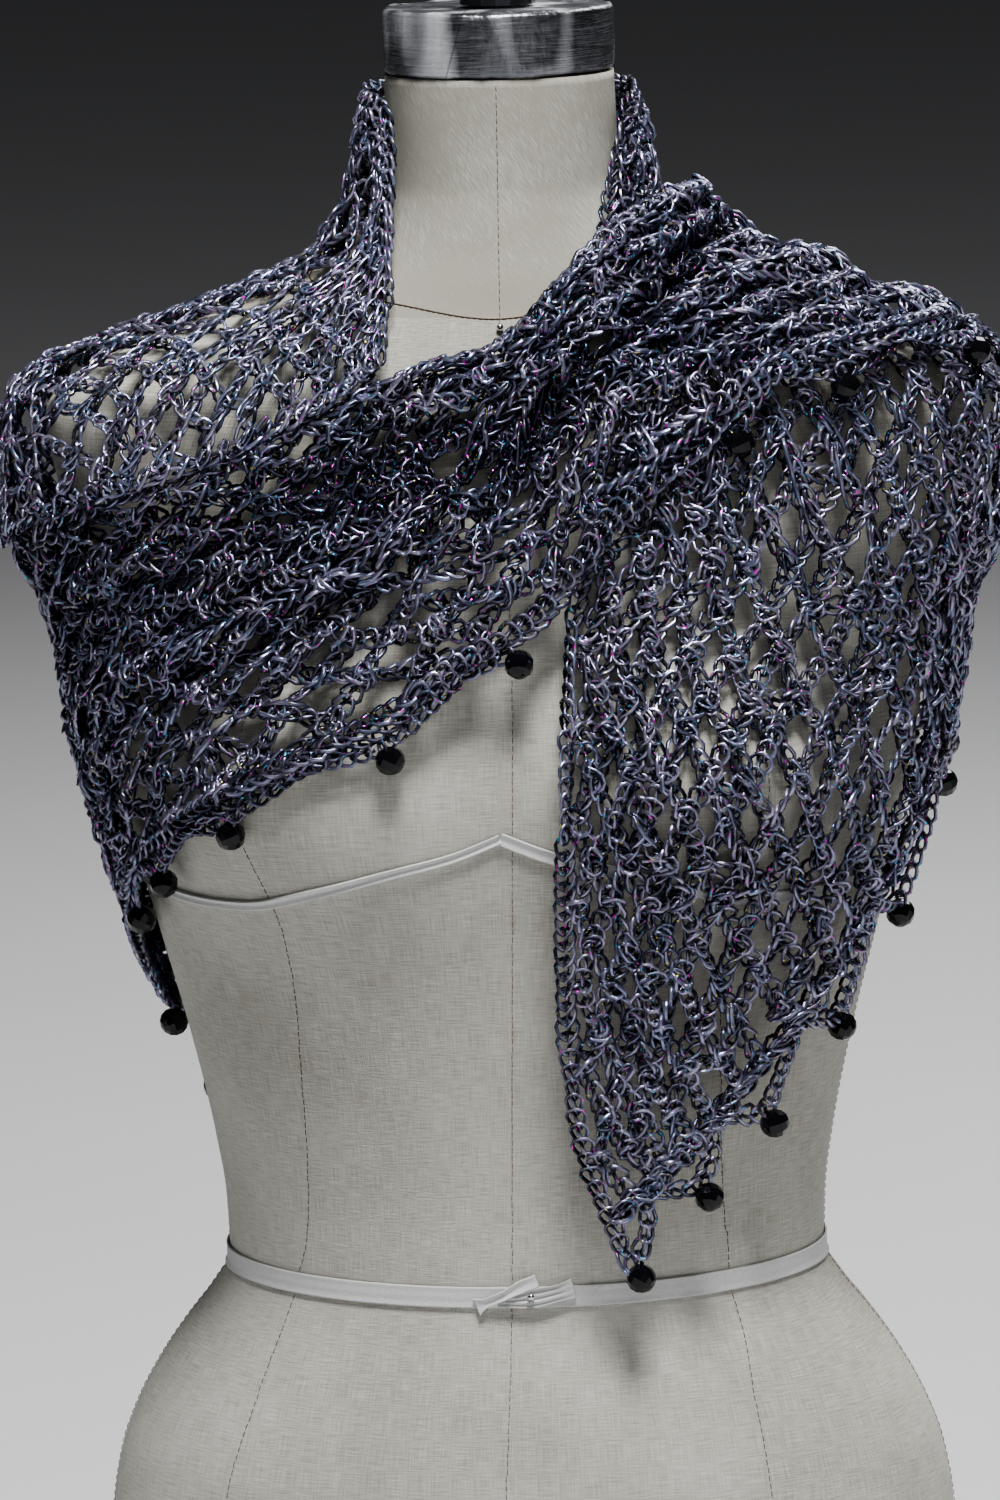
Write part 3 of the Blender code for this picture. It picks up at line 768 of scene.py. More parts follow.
class NetWorker:
    """Lays rows of nodes on a stretch and works chains between them."""

    def __init__(self, job: NetJob) -> None:
        """Prepare the surface and an empty yarn mesh.

        Args:
            job: what to work.
        """
        self.plan, self.net = job.plan, job.net
        self.surface = s = Surface(job.plan, job.sink)
        # painted light: the net's own brightness factor
        s.light *= self.net.tone
        self.yarn = YarnMesh(f"{job.plan.name}_{job.suffix}", job.stitch, job.seed)
        rows = np.linspace(0, len(self.plan.rows) - 1, len(s.along_shares))
        self.limit = s.cross_length[:, -1] - self.net.step * self.plan.stepped(rows)

    def row_lines(self) -> Iterable[tuple[int, Array, Array]]:
        """Lines that the rows follow.

        Returns:
            Each row's number, and its shares along and across.
        """
        s, net = self.surface, self.net
        if net.spacing is RowSpacing.BY_SHARE:
            for k in range(net.rows):
                part = np.interp((k + 0.5) / net.rows, (0, 0.5, 1), net.span)
                yield k, s.along_shares, self.limit / s.cross_length[:, -1] * part
            return
        distances = [net.first]
        while distances[-1] < self.limit.max():
            part = min(1.0, distances[-1] / net.near_width) ** 2
            distances.append(distances[-1] + net.near_gap + (net.row_gap - net.near_gap) * part)
        for k, distance in enumerate(distances):
            inside = self.limit > distance - net.row_slack * net.row_gap
            across = s.across_at(distance)
            for run in np.split(np.arange(len(inside)), np.flatnonzero(np.diff(inside.astype(int))) + 1):
                if inside[run[0]] and len(run) > 3:
                    yield k, s.along_shares[run], across[run]

    def node_rows(self) -> dict[int, list[NetRow]]:
        """Nodes of every row, staggered from one row to the next.

        Returns:
            The runs of nodes of each row, by its number.
        """
        found: dict[int, list[NetRow]] = {}
        for k, along, across in self.row_lines():
            line, _ = self.surface.at(along, across)
            run = run_lengths(line)
            places = self.node_places(k, run, line[:, 2])
            places[1:-1] += self.yarn.draws.normal(0, self.net.shift, len(places) - 2)
            nodes, share = np.interp(places, run, along), np.interp(places, run, across)
            widths = self.surface.width_at(nodes[1:-1])
            share[1:-1] += self.yarn.draws.normal(0, self.net.stray, len(places) - 2) / widths
            share = np.clip(share, self.net.rim, 1 - self.net.rim)
            points, _ = self.surface.at(nodes, share)
            ends = np.zeros(len(nodes), bool)
            ends[0], ends[-1] = nodes[0] < 1e-6, nodes[-1] > 1 - 1e-6
            found.setdefault(k, []).append(NetRow(nodes, share, points, ends))
        return found

    def node_places(self, k: int, run: Array, heights: Array) -> Array:
        """Where the nodes of one row stand along it.

        Args:
            k: the row's number.
            run: length of the row up to each of its points.
            heights: heights of those points.

        Returns:
            Lengths along the row, both ends among them.
        """
        gap, half, level = self.net.node_gap, 0.5 * (k % 2), self.net.level
        if level is None:
            cells = max(1, round(run[-1] / gap))
            inner = (np.arange(cells) + half) * run[-1] / cells
            return np.concatenate([[0], inner[inner > 0], [run[-1]]])
        top = int(heights.argmax()) + 1
        anchor = np.interp(level, heights[:top], run[:top]) + min(0.0, level - heights[0])
        margin = self.net.end_gap * gap
        first = math.ceil((margin - anchor) / gap - half)
        last = math.floor((run[-1] - margin - anchor) / gap - half)
        return np.concatenate([[0], anchor + (np.arange(first, last + 1) + half) * gap, [run[-1]]])

    def links(self, rows: dict[int, list[NetRow]]) -> Array:
        """Chains between the rows.

        Args:
            rows: the runs of nodes of each row.

        Returns:
            Shares of both ends of each chain, and its length.
        """
        made = []
        for k in sorted(rows):
            for low in rows[k]:
                for high in rows.get(k + 1, []):
                    made += self.between(low, high)
                for high in rows.get(k + 2, []):
                    made += self.tied(low, high)
        return np.array(made)

    def tied(self, low: NetRow, high: NetRow) -> list[tuple[float, ...]]:
        """Chains straight across to some of the nodes two rows on.

        Args:
            low: a run of nodes.
            high: a run two rows on.

        Returns:
            Shares of both ends of each chain, and its length.
        """
        made = []
        for i in range(1, len(low.along) - 1):
            gaps = np.linalg.norm(high.points - low.points[i], axis=-1)
            n = int(gaps.argmin())
            if gaps[n] < self.net.tie_reach * self.net.row_gap and self.yarn.draws.random() < self.net.ties:
                made.append((low.along[i], low.across[i], high.along[n], high.across[n], gaps[n]))
        return made

    def between(self, low: NetRow, high: NetRow) -> list[tuple[float, ...]]:
        """Chains from each node to its neighbours on both sides in the next row.

        Args:
            low: a run of nodes.
            high: a run of the next row.

        Returns:
            Shares of both ends of each chain, and its length.
        """
        pairs = set()
        for i, j in enumerate(np.searchsorted(high.along, low.along)):
            pairs |= {(i, n) for n in (j - 1, j) if 0 <= n < len(high.along)}
        gaps = np.linalg.norm(high.points[:, None] - low.points[None], axis=-1)
        pairs |= {(int(gaps[n].argmin()), n) for n in range(len(high.along))}
        most = self.net.reach * math.hypot(self.net.row_gap, self.net.node_gap / 2)
        return [(low.along[i], low.across[i], high.along[n], high.across[n], gaps[n, i])
                for i, n in sorted(pairs) if gaps[n, i] < most and not (low.ends[i] and high.ends[n])]

    def work_net(self) -> None:
        """Work every chain between the rows, in batches of equal length, and a knot at every node."""
        rows = self.node_rows()
        links = self.links(rows)
        stitches = np.clip(np.round(links[:, 4] / self.yarn.stitch.pitch), 1, 6).astype(int)
        t = np.linspace(0, 1, 7)
        for number in np.unique(stitches):
            start_along, start_across, end_along, end_across = links[stitches == number].T[:4, :, None]
            bow = self.yarn.draws.uniform(-1, 1, start_along.shape) * np.sin(math.pi * t)
            along = start_along + (end_along - start_along) * t
            across = start_across + (end_across - start_across) * t
            across = across + bow * self.net.bow * np.abs(end_across - start_across)
            self.yarn.chains(self.surface, ChainBatch(along, across, int(number)))
        runs = [row for k in rows for row in rows[k]]
        self.work_knots(np.concatenate([np.stack([run.along, run.across], -1) for run in runs]))

    def work_knots(self, nodes: Array) -> None:
        """Work one short stitch over every node, across the rows.

        Args:
            nodes: shares along and across of each node.
        """
        ways = np.array([-1.0, 0.0, 1.0])
        reach = (KNOT_REACH / self.surface.width_at(nodes[:, 0]))[:, None] * ways
        lean = self.yarn.draws.normal(0, KNOT_LEAN, (len(nodes), 1)) * ways
        self.yarn.chains(self.surface, ChainBatch(nodes[:, :1] + lean, nodes[:, 1:] + reach, 1), KNOT_LIFT)

    def work_line(self, along: Array, across: Array, lift: float = 0.0, piece_length: float = 0.039) -> None:
        """Work one long chain along a line, in joined pieces of even length.

        Args:
            along: shares along of the line's points.
            across: their shares across.
            lift: metres out from the surface.
            piece_length: about the length of each piece.
        """
        run = run_lengths(self.surface.at(along, across)[0])
        pieces = max(1, round(run[-1] / piece_length))
        stitches = max(1, round(run[-1] / pieces / self.yarn.stitch.pitch))
        places = np.linspace(0, run[-1], pieces * LINE_STEPS + 1)
        index = np.arange(pieces)[:, None] * LINE_STEPS + np.arange(LINE_STEPS + 1)
        u, v = np.interp(places, run, along)[index], np.interp(places, run, across)[index]
        self.yarn.chains(self.surface, ChainBatch(u, v, stitches), lift)

    def work_borders(self) -> None:
        """Work the chains along the straight edge, along the net's limit and out to the beads."""
        s, net = self.surface, self.net
        full = np.maximum(self.limit, MM) / s.cross_length[:, -1]
        for number, distance in enumerate(net.border):
            across = s.across_at(distance)
            self.work_line(s.along_shares, np.minimum(across, full) if number else across)
        if not net.hem:
            return
        wide = self.limit > 2 * net.border[0]
        self.work_line(s.along_shares[wide], full[wide])
        if net.raised_hem:
            inside = np.maximum(self.limit - net.raised_hem, MM) / s.cross_length[:, -1]
            self.work_line(s.along_shares[wide], inside[wide], net.raised_hem / 2)
        if s.cross_length[0, -1] < net.tip_width:
            self.work_line(np.zeros(9), np.linspace(net.border[0] / s.cross_length[0, -1], 1, 9))
        last, t = len(self.plan.rows) - 1, np.linspace(0, 1, 9)
        for row in range(last):
            corner_row = row + net.corner
            corner = np.interp(corner_row / last, s.along_shares, full)
            if self.plan.rows[row][6] and self.plan.rows[row + 1][6]:
                for tip in (row, row + 1):
                    self.work_line((corner_row + (tip - corner_row) * t) / last, corner + (1 - corner) * t)

    def make(self) -> bpy.types.Object:
        """Work the whole stretch.

        Returns:
            Its net, as one object.
        """
        self.work_net()
        self.work_borders()
        return self.yarn.finish()


HANGING_END = StretchPlan("hanging_end", (
    (20.0, 0.2635, 22.5, 0.2540, 1.5, 1.5, 1),
    (15.0, 0.2850, 35.8, 0.2822, 1.5, 1.5, 1),
    (11.0, 0.3180, 49.5, 0.3062, 1.5, 1.5, 1),
    (9.7, 0.3680, 64.4, 0.3377, 1.5, 1.5, 1),
    (10.2, 0.4250, 77.3, 0.3745, 1.5, 1.5, 1),
    (12.6, 0.4870, 84.0, 0.4205, 1.5, 1.5, 1),
    (22.0, 0.5350, 89.0, 0.4300, 1.5, 1.5, 0),
    (36.0, 0.6050, 93.0, 0.4340, 1.5, 1.5, 0),
    (50.0, 0.6480, 97.0, 0.4330, 1.5, 1.5, 1),
    (74.0, 0.6760, 100.5, 0.4280, 1.5, 1.5, 0),
    (104.0, 0.6800, 104.0, 0.4200, 1.5, 1.5, 1),
), ((0.30, 0.050, 1.6), (0.46, 0.040, 1.8)), FoldWay.TO_HEM)

BACK_PANEL = StretchPlan("back_panel", (
    (104.0, 0.6800, 104.0, 0.4200, 1.5, 1.5, 1),
    (118.0, 0.6800, 118.0, 0.3900, 1.5, 1.5, 1),
    (132.0, 0.6800, 132.0, 0.3520, 1.5, 1.5, 1),
    (146.0, 0.6800, 146.0, 0.3150, 1.5, 1.5, 1),
    (162.0, 0.6800, 162.0, 0.2800, 1.5, 1.5, 1),
    (180.0, 0.6800, 180.0, 0.2550, 1.5, 1.5, 1),
    (198.0, 0.6800, 198.0, 0.2620, 1.5, 1.5, 1),
    (215.0, 0.6800, 215.0, 0.2720, 1.5, 1.5, 1),
    (232.0, 0.6800, 232.0, 0.2840, 1.5, 1.5, 1),
    (248.5, 0.6800, 248.5, 0.2985, 1.5, 1.5, 1),
    (260.0, 0.6800, 260.0, 0.3280, 1.5, 1.5, 1),
), ((0.22, 0.040, 3.5), (0.40, 0.035, 4.5), (0.57, 0.040, 4.0), (0.76, 0.045, 3.5)), FoldWay.TO_HEM)

RIGHT_CAPE = StretchPlan("right_cape", (
    (-100.0, 0.6800, -100.0, 0.4989, 1.5, 1.5, 0),
    (-78.0, 0.6800, -90.0, 0.5110, 1.5, 5.5, 0),
    (-58.0, 0.6785, -80.0, 0.5238, 1.5, 8.0, 0),
    (-49.5, 0.6700, -71.4, 0.5315, 1.5, 9.0, 0),
    (-45.5, 0.6480, -63.2, 0.5390, 1.5, 9.0, 0),
    (-41.0, 0.6300, -55.6, 0.5460, 1.5, 9.0, 0),
    (-36.0, 0.6140, -46.6, 0.5565, 1.5, 9.5, 0),
    (-31.8, 0.5970, -37.0, 0.5680, 1.5, 9.5, 0),
    (-29.6, 0.5860, -30.2, 0.5785, 1.5, 9.0, 0),
))

FRONT_SWAG = StretchPlan("front_swag", (
    (-100.0, 0.4985, -100.0, 0.3280, 1.5, 1.5, 1),
    (-90.0, 0.5105, -90.0, 0.3530, 2.5, 1.5, 0),
    (-80.0, 0.5230, -81.5, 0.3680, 3.5, 1.5, 0),
    (-68.0, 0.5347, -73.5, 0.3800, 4.0, 2.0, 1),
    (-55.6, 0.5460, -61.5, 0.3985, 4.5, 2.5, 1),
    (-38.0, 0.5665, -42.0, 0.4228, 5.0, 3.0, 1),
    (-24.0, 0.5790, -19.0, 0.4500, 6.0, 3.5, 1),
    (1.8, 0.5885, 2.8, 0.4820, 8.0, 7.0, 1),
    (12.0, 0.5980, 15.0, 0.5080, 9.0, 9.0, 0),
    (20.0, 0.6085, 24.0, 0.5270, 11.0, 9.0, 0),
    (32.0, 0.6205, 35.0, 0.5430, 12.0, 9.0, 0),
    (48.0, 0.6330, 47.0, 0.5563, 13.0, 11.0, 1),
    (66.0, 0.6400, 64.0, 0.5715, 14.0, 12.0, 1),
    (83.0, 0.6400, 83.0, 0.5755, 14.0, 11.0, 1),
), (
    (0.06, 0.05, 0.045, 0.0, 4.5, 5.0),
    (0.20, 0.17, 0.050, 0.0, 5.0, 6.0),
    (0.36, 0.33, 0.045, 0.0, 1.5, 4.0),
    (0.50, 0.50, 0.050, 0.0, 6.0, 6.5),
    (0.64, 0.66, 0.040, 0.0, 5.0, 5.0),
    (0.78, 0.80, 0.040, 0.0, 4.0, 4.5),
    (0.91, 0.93, 0.035, 0.0, 2.5, 4.0),
), FoldWay.ALONG, (
    (0.00, 0.15, 0.10, 0.0),
    (0.25, 0.16, 0.10, 2.0),
    (0.45, 0.24, 0.11, 6.5),
    (0.53, 0.46, 0.11, 8.0),
    (0.62, 0.59, 0.10, 7.5),
    (0.67, 0.63, 0.09, 5.0),
    (0.76, 0.55, 0.09, 6.0),
    (0.83, 0.40, 0.09, 7.5),
    (0.93, 0.24, 0.10, 6.5),
    (1.00, 0.20, 0.10, 5.0),
))

THROWN_END = StretchPlan("thrown_end", (
    (83.0, 0.6400, 83.0, 0.5755, 14.0, 11.0, 1),
    (96.0, 0.6340, 99.0, 0.5680, 12.0, 10.5, 1),
    (108.0, 0.6200, 113.0, 0.5380, 10.0, 10.0, 1),
    (118.0, 0.6000, 125.0, 0.4900, 9.0, 10.0, 1),
    (127.0, 0.5700, 134.0, 0.4420, 8.0, 10.0, 1),
    (136.0, 0.5200, 142.0, 0.4000, 8.0, 10.0, 1),
    (143.0, 0.4550, 148.0, 0.3690, 8.0, 10.0, 1),
    (149.5, 0.3800, 152.0, 0.3520, 8.0, 10.0, 1),
), (
    (0.05, 0.10, 0.060, 5.0, 3.0, 0.0),
    (0.17, 0.30, 0.060, 6.0, 3.0, 0.0),
    (0.50, 0.50, 0.070, 6.5, 4.0, 0.0),
    (0.80, 0.75, 0.070, 4.5, 3.0, 0.0),
), FoldWay.ALONG)


HANGING_STITCH = Stitch(yarn_radius=0.00092)
CAPE_STITCH = Stitch(pitch=0.0062, half_width=0.0026, yarn_radius=0.00084)
SWAG_STITCH = Stitch(twist=0.35, uneven=0.10, yarn_radius=0.00098)
BACK_STITCH = Stitch(pitch=0.0068, height=0.0096, loop_points=9, back_points=2, yarn_radius=0.00092)
NET_JOBS = (
    NetJob(HANGING_END, NetPlan(row_gap=0.0102, node_gap=0.032, near_width=0.080, level=0.36, first=0.0078,
                                border=(0.0030,), ties=0.15, tone=0.86),
           HANGING_STITCH, 11, SheetCut(0.30, 0.45, 0.106)),
    NetJob(BACK_PANEL, NetPlan(row_gap=0.0107, near_gap=0.0090, node_gap=0.032, step=0.018, corner=0.5,
                               reach=2.3),
           BACK_STITCH, 12, SheetCut(0.43, 0.55, 0.143)),
    NetJob(RIGHT_CAPE, NetPlan(near_gap=0.0085, row_gap=0.0112, node_gap=0.022, ties=0.04, hem=False,
                               tone=1.2),
           CAPE_STITCH, 13, SheetCut(0.20, 0.25, 0.031)),
    NetJob(FRONT_SWAG, NetPlan(node_gap=0.030, spacing=RowSpacing.BY_SHARE, rows=17, border=(0.0030,),
                               step=0.008, corner=0.55, shift=0.0026, stray=0.0011, span=(0.0, 0.46, 1.0),
                               raised_hem=0.0036, ties=0.08),
           SWAG_STITCH, 14, SheetCut(0.28, 0.48, 0.115, "gathered")),
    NetJob(FRONT_SWAG, NetPlan(node_gap=0.027, spacing=RowSpacing.BY_SHARE, rows=9, border=(), hem=False,
                               shift=0.003, stray=0.001, span=(0.03, 0.36, 0.72)),
           BACK_STITCH, 15, SheetCut(0.20, 0.45, 0.040, "gathered"), "underlayer", 0.0050),
    NetJob(THROWN_END, NetPlan(node_gap=0.030, spacing=RowSpacing.BY_SHARE, rows=11, step=0.012, corner=0.5),
           BACK_STITCH, 16, SheetCut(0.16, 0.35, 0.043, "gathered")),
)


class Sock:
    """A node socket, or a number, that takes part in arithmetic."""

    def __init__(self, kit: "NodeKit", source: object) -> None:
        self.kit = kit
        self.source = source

    def _math(self, operation: str, first: object, second: object = 0.0) -> "Sock":
        """A Math node of two values."""
        return self.kit.node("ShaderNodeMath", {"operation": operation}, {0: first, 1: second})

    def __add__(self, other: object) -> "Sock":
        """Sum."""
        return self._math("ADD", self, other)

    def __radd__(self, other: object) -> "Sock":
        """Sum with a number first."""
        return self._math("ADD", other, self)

    def __sub__(self, other: object) -> "Sock":
        """Difference."""
        return self._math("SUBTRACT", self, other)

    def __rsub__(self, other: object) -> "Sock":
        """Difference with a number first."""
        return self._math("SUBTRACT", other, self)

    def __mul__(self, other: object) -> "Sock":
        """Product."""
        return self._math("MULTIPLY", self, other)

    def __rmul__(self, other: object) -> "Sock":
        """Product with a number first."""
        return self._math("MULTIPLY", other, self)

    def __gt__(self, other: object) -> "Sock":
        """One where greater, else nothing."""
        return self._math("GREATER_THAN", self, other)

    def sine(self) -> "Sock":
        """Sine."""
        return self._math("SINE", self)

    def power(self, exponent: float) -> "Sock":
        """Power."""
        return self._math("POWER", self, exponent)

    def clamp(self) -> "Sock":
        """Kept from 0 to 1."""
        return self._math("MINIMUM", self._math("MAXIMUM", self, 0.0), 1.0)


class NodeKit:
    """Builds one material's nodes."""

    def __init__(self, name: str) -> None:
        """Start a material with its Principled shader.

        Args:
            name: the material's name.
        """
        self.material = bpy.data.materials.new(name)
        self.material.use_nodes = True
        self.tree = self.material.node_tree
        self.shader = self.tree.nodes["Principled BSDF"]

    def node(self, kind: str, settings: dict[str, object], inputs: dict[object, object],
             output: object = 0) -> Sock:
        """Add one node.

        Args:
            kind: the node's type.
            settings: its properties, set first.
            inputs: values or sockets for its inputs, by name or number.
            output: which output to return.

        Returns:
            The chosen output.
        """
        node = self.tree.nodes.new(kind)
        for key, value in settings.items():
            setattr(node, key, value)
        for key, value in inputs.items():
            self.feed(node.inputs[key], value)
        return Sock(self, node.outputs[output])

    def feed(self, target: bpy.types.NodeSocket, value: object) -> None:
        """Link or set one input.

        Args:
            target: the input.
            value: a socket to link, or a number, vector or colour to set.
        """
        if isinstance(value, Sock):
            self.tree.links.new(value.source, target)
        elif isinstance(value, tuple) and target.type == "RGBA":
            target.default_value = (*value, 1.0)
        else:
            target.default_value = value

    def place(self, kind: str = "Object") -> Sock:
        """Object coordinates, or the piece's own map."""
        return self.node("ShaderNodeTexCoord", {}, {}, kind)

    def parts(self, vector: Sock) -> tuple[Sock, ...]:
        """The three parts of a vector."""
        outputs = self.node("ShaderNodeSeparateXYZ", {}, {0: vector}).source.node.outputs
        return tuple(Sock(self, output) for output in outputs)

    def mapping(self, where: Sock, **settings: tuple[float, float, float]) -> Sock:
        """Coordinates scaled or turned."""
        return self.node("ShaderNodeMapping", {}, {"Vector": where, **settings})

    def noise(self, scale: float, detail: float = 2.0, where: Sock | None = None,
              stretch: tuple[float, float, float] = (1, 1, 1)) -> Sock:
        """Noise between 0 and 1.

        Args:
            scale: how fine it is.
            detail: how many finer layers it has.
            where: its coordinates, or the object's own.
            stretch: further scale along each axis.

        Returns:
            Its value.
        """
        where = where or self.place()
        if stretch != (1, 1, 1):
            where = self.mapping(where, Scale=stretch)
        return self.node("ShaderNodeTexNoise", {}, {"Vector": where, "Scale": scale, "Detail": detail})

    def mix(self, factor: object, first: object, second: object) -> Sock:
        """Mix of two colours."""
        return self.node("ShaderNodeMix", {"data_type": "RGBA"}, {0: factor, 6: first, 7: second}, 2)

    def bump(self, height: Sock, strength: float, distance: float) -> Sock:
        """Bump from a height."""
        inputs = {"Height": height, "Strength": strength, "Distance": distance}
        return self.node("ShaderNodeBump", {}, inputs)

    def surface(self, **inputs: object) -> bpy.types.Material:
        """Set the shader's inputs.

        Args:
            inputs: sockets or values by the input's name, its words joined by underscores.

        Returns:
            The material.
        """
        for key, value in inputs.items():
            self.feed(self.shader.inputs[key.replace("_", " ").title().replace("Ior", "IOR")], value)
        return self.material


@dataclass(frozen=True)
class YarnFinish:
    """Shiny twisted yarn with a few magenta, blue and gold glints."""

    # painted shade: dark is the yarn in painted shade and in its darker random patches; light and cool are
    # its lit colours
    dark: Colour = (0.022, 0.022, 0.046)
    light: Colour = (0.49, 0.465, 0.63)
    cool: Colour = (0.36, 0.39, 0.57)
    glints: tuple[Colour, ...] = ((0.70, 0.05, 0.55), (0.08, 0.45, 0.65), (0.65, 0.58, 0.15))
    glint_scale: float = 640.0
    glint_level: float = 0.778
    turn_length: float = 11.0
    plies: int = 4
    ply_share: float = 0.10
    patch_scale: float = 170.0
    patch_share: float = 1.5
    contrast: float = 1.35

    def material(self) -> bpy.types.Material:
        """Build the yarn's material.

        Returns:
            The material, which reads the map along the yarn and its light attribute.
        """
        kit = NodeKit("yarn_finish")
        run, around, _ = kit.parts(kit.place("UV"))
        ply = (run * (2 * math.pi / self.turn_length) + around * (2 * math.pi * self.plies)).sine()
        patch = kit.noise(self.patch_scale, 1.0)
        # painted shade: the light attribute darkens the yarn under neighbouring loops, in the crease,
        # between folds and on the under-layer
        light = kit.node("ShaderNodeAttribute", {"attribute_name": "light"}, {}, "Fac")
        # partly random tone from the plies and patches, partly painted shade, deepened by the contrast power
        shade = ((ply * self.ply_share + patch * self.patch_share).clamp() * light).power(self.contrast)
        tint = (kit.noise(60.0, 2.0) * 5.0 - 2.1).clamp()
        colour = kit.mix(shade, self.dark, kit.mix(tint, self.light, self.cool))
        for number, glint in enumerate(self.glints):
            speck = kit.noise(self.glint_scale * (1 + 0.17 * number), 0.0,
                              stretch=(1.0 + 0.2 * number, 1.0, 1.1))
            colour = kit.mix(speck > self.glint_level, colour, glint)
        return kit.surface(Base_Color=colour, Roughness=0.31, Metallic=0.78,
                           Normal=kit.bump(ply, 0.25, 0.0002))


@dataclass(frozen=True)
class LinenFinish:
    """Plain-woven cream linen, slightly mottled, cut on the bias above the neck seam."""

    cream: Colour = (0.34, 0.328, 0.278)
    pale: Colour = (0.57, 0.562, 0.51)
    thread_gap: float = 0.00085
    neck_seam: float = 0.5995
    bias: float = math.radians(24.0)

    def material(self) -> bpy.types.Material:
        """Build the linen's material.

        Returns:
            The material, which reads the linen's map in metres.
        """
        kit = NodeKit("linen_finish")
        uv = kit.place("UV")
        across, up, _ = kit.parts(uv)
        turns = 2 * math.pi / self.thread_gap
        weave = (across * turns).sine() * (up * turns).sine()
        neck = kit.parts(kit.place())[2] > self.neck_seam
        turned = kit.mapping(uv, Rotation=(0.0, 0.0, self.bias))
        slub_up = kit.noise(1.0, 2.0, uv, (1800.0, 90.0, 1.0))
        slub_across = kit.noise(1.0, 2.0, uv, (100.0, 2300.0, 1.0)) * (1 - neck)
        slub_across = slub_across + kit.noise(1.0, 2.0, turned, (90.0, 1200.0, 1.0)) * neck
        mottle = kit.noise(14.0, 4.0) * (1.5 + 1.6 * neck)
        tone = (slub_up * 1.3 + slub_across * 1.9 + mottle - 1.85 - 1.1 * neck).clamp()
        height = weave * 0.35 + slub_up * 0.9 + slub_across * 0.9
        return kit.surface(Base_Color=kit.mix(tone, self.cream, self.pale), Roughness=0.88,
                           Normal=kit.bump(height, 0.35, 0.0004))


@dataclass(frozen=True)
class FoilFinish:
    """Creased silver tape with scuffs along it, one lapped end and painted reflections in pale, less
    metallic patches.
    """

    # dark is the foil between painted reflections; light is the colour of the painted reflections and of the
    # scuffs
    dark: Colour = (0.10, 0.105, 0.12)
    light: Colour = (0.78, 0.79, 0.82)
    lap_x: float = -0.0140
    lap_slope: float = 0.30
    lap_width: float = 0.0004
    lap_light: float = 0.55
    middle: float = 0.697
    # painted reflection: how much less metallic the pale patches are
    sheen: float = 0.38

    def material(self) -> bpy.types.Material:
        """Build the tape's material.

        Returns:
            The material, with its lap on the front only.
        """
        kit = NodeKit("foil_finish")
        x, y, z = kit.parts(kit.place())
        off = x - (z - self.middle) * self.lap_slope - self.lap_x
        lap = (off * off > self.lap_width ** 2) * (1 - self.lap_light) + self.lap_light
        front = (y > 0.0) * (1 - lap) + lap
        # painted reflection: pale patches, stretched upwards, where the creased foil would catch the light
        painted_reflections = (kit.noise(42.0, 1.0, stretch=(1.0, 1.0, 0.3)) * 8.0 - 4.1).clamp()
        scuffs = kit.noise(1.0, 3.0, stretch=(90.0, 90.0, 1500.0))
        # partly painted reflection from the patches, partly scuffs
        tone = (painted_reflections * 0.85 + scuffs * 0.25).clamp() * front
        height = kit.noise(75.0, 4.0, stretch=(1.0, 1.0, 0.55)) + scuffs * 0.12
        return kit.surface(Base_Color=kit.mix(tone, self.dark, self.light), Roughness=0.20 + scuffs * 0.35,
                           Metallic=1 - painted_reflections * self.sheen, Normal=kit.bump(height, 0.8, 0.0022))


@dataclass(frozen=True)
class PlainFinish:
    """A finish of one tone with a little variation and grain."""

    name: str
    colour: Colour
    second: Colour
    roughness: float
    metallic: float = 0.0
    specular: float = 0.5
    scale: float = 300.0
    relief: float = 0.2
    depth: float = 0.0002

    def material(self) -> bpy.types.Material:
        """Build the material.

        Returns:
            The material.
        """
        kit = NodeKit(self.name)
        grain = kit.noise(self.scale, 3.0)
        return kit.surface(Base_Color=kit.mix(grain, self.colour, self.second), Roughness=self.roughness,
                           Metallic=self.metallic, Specular_IOR_Level=self.specular,
                           Normal=kit.bump(grain, self.relief, self.depth))


BEAD_FINISH = PlainFinish("jet_finish", (0.002, 0.002, 0.003), (0.005, 0.005, 0.007), 0.10, specular=0.36,
                          scale=90.0, relief=0.02)
TAPE_FINISH = PlainFinish("tape_finish", (0.50, 0.50, 0.50), (0.66, 0.66, 0.65), 0.75, scale=900.0,
                          relief=0.4)
THREAD_FINISH = PlainFinish("thread_finish", (0.11, 0.065, 0.045), (0.20, 0.12, 0.09), 0.7, scale=800.0)
FIXTURE_FINISH = PlainFinish("fixture_finish", (0.03, 0.03, 0.035), (0.06, 0.06, 0.07), 0.4, metallic=0.8)
PIN_FINISH = PlainFinish("pin_finish", (0.60, 0.60, 0.62), (0.75, 0.75, 0.76), 0.22, metallic=1.0)
FLOOR_FINISH = PlainFinish("floor_finish", (0.62, 0.62, 0.63), (0.66, 0.66, 0.67), 0.8, scale=4.0,
                           relief=0.0)


def dress(piece: bpy.types.Object, material: bpy.types.Material, slot: str, *nodes: str) -> bpy.types.Object:
    """Give a piece its material and body, and hide the solid nodes that it stands for.

    Args:
        piece: the piece.
        material: its only material.
        slot: not used.
        nodes: the solid nodes that it stands for.

    Returns:
        The piece.
    """
    piece.data.materials.clear()
    piece.data.materials.append(material)
    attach(piece, BODY)
    if nodes:
        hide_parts(*nodes)
    LOG.info("%s: %d faces", piece.name, len(piece.data.polygons))
    return piece


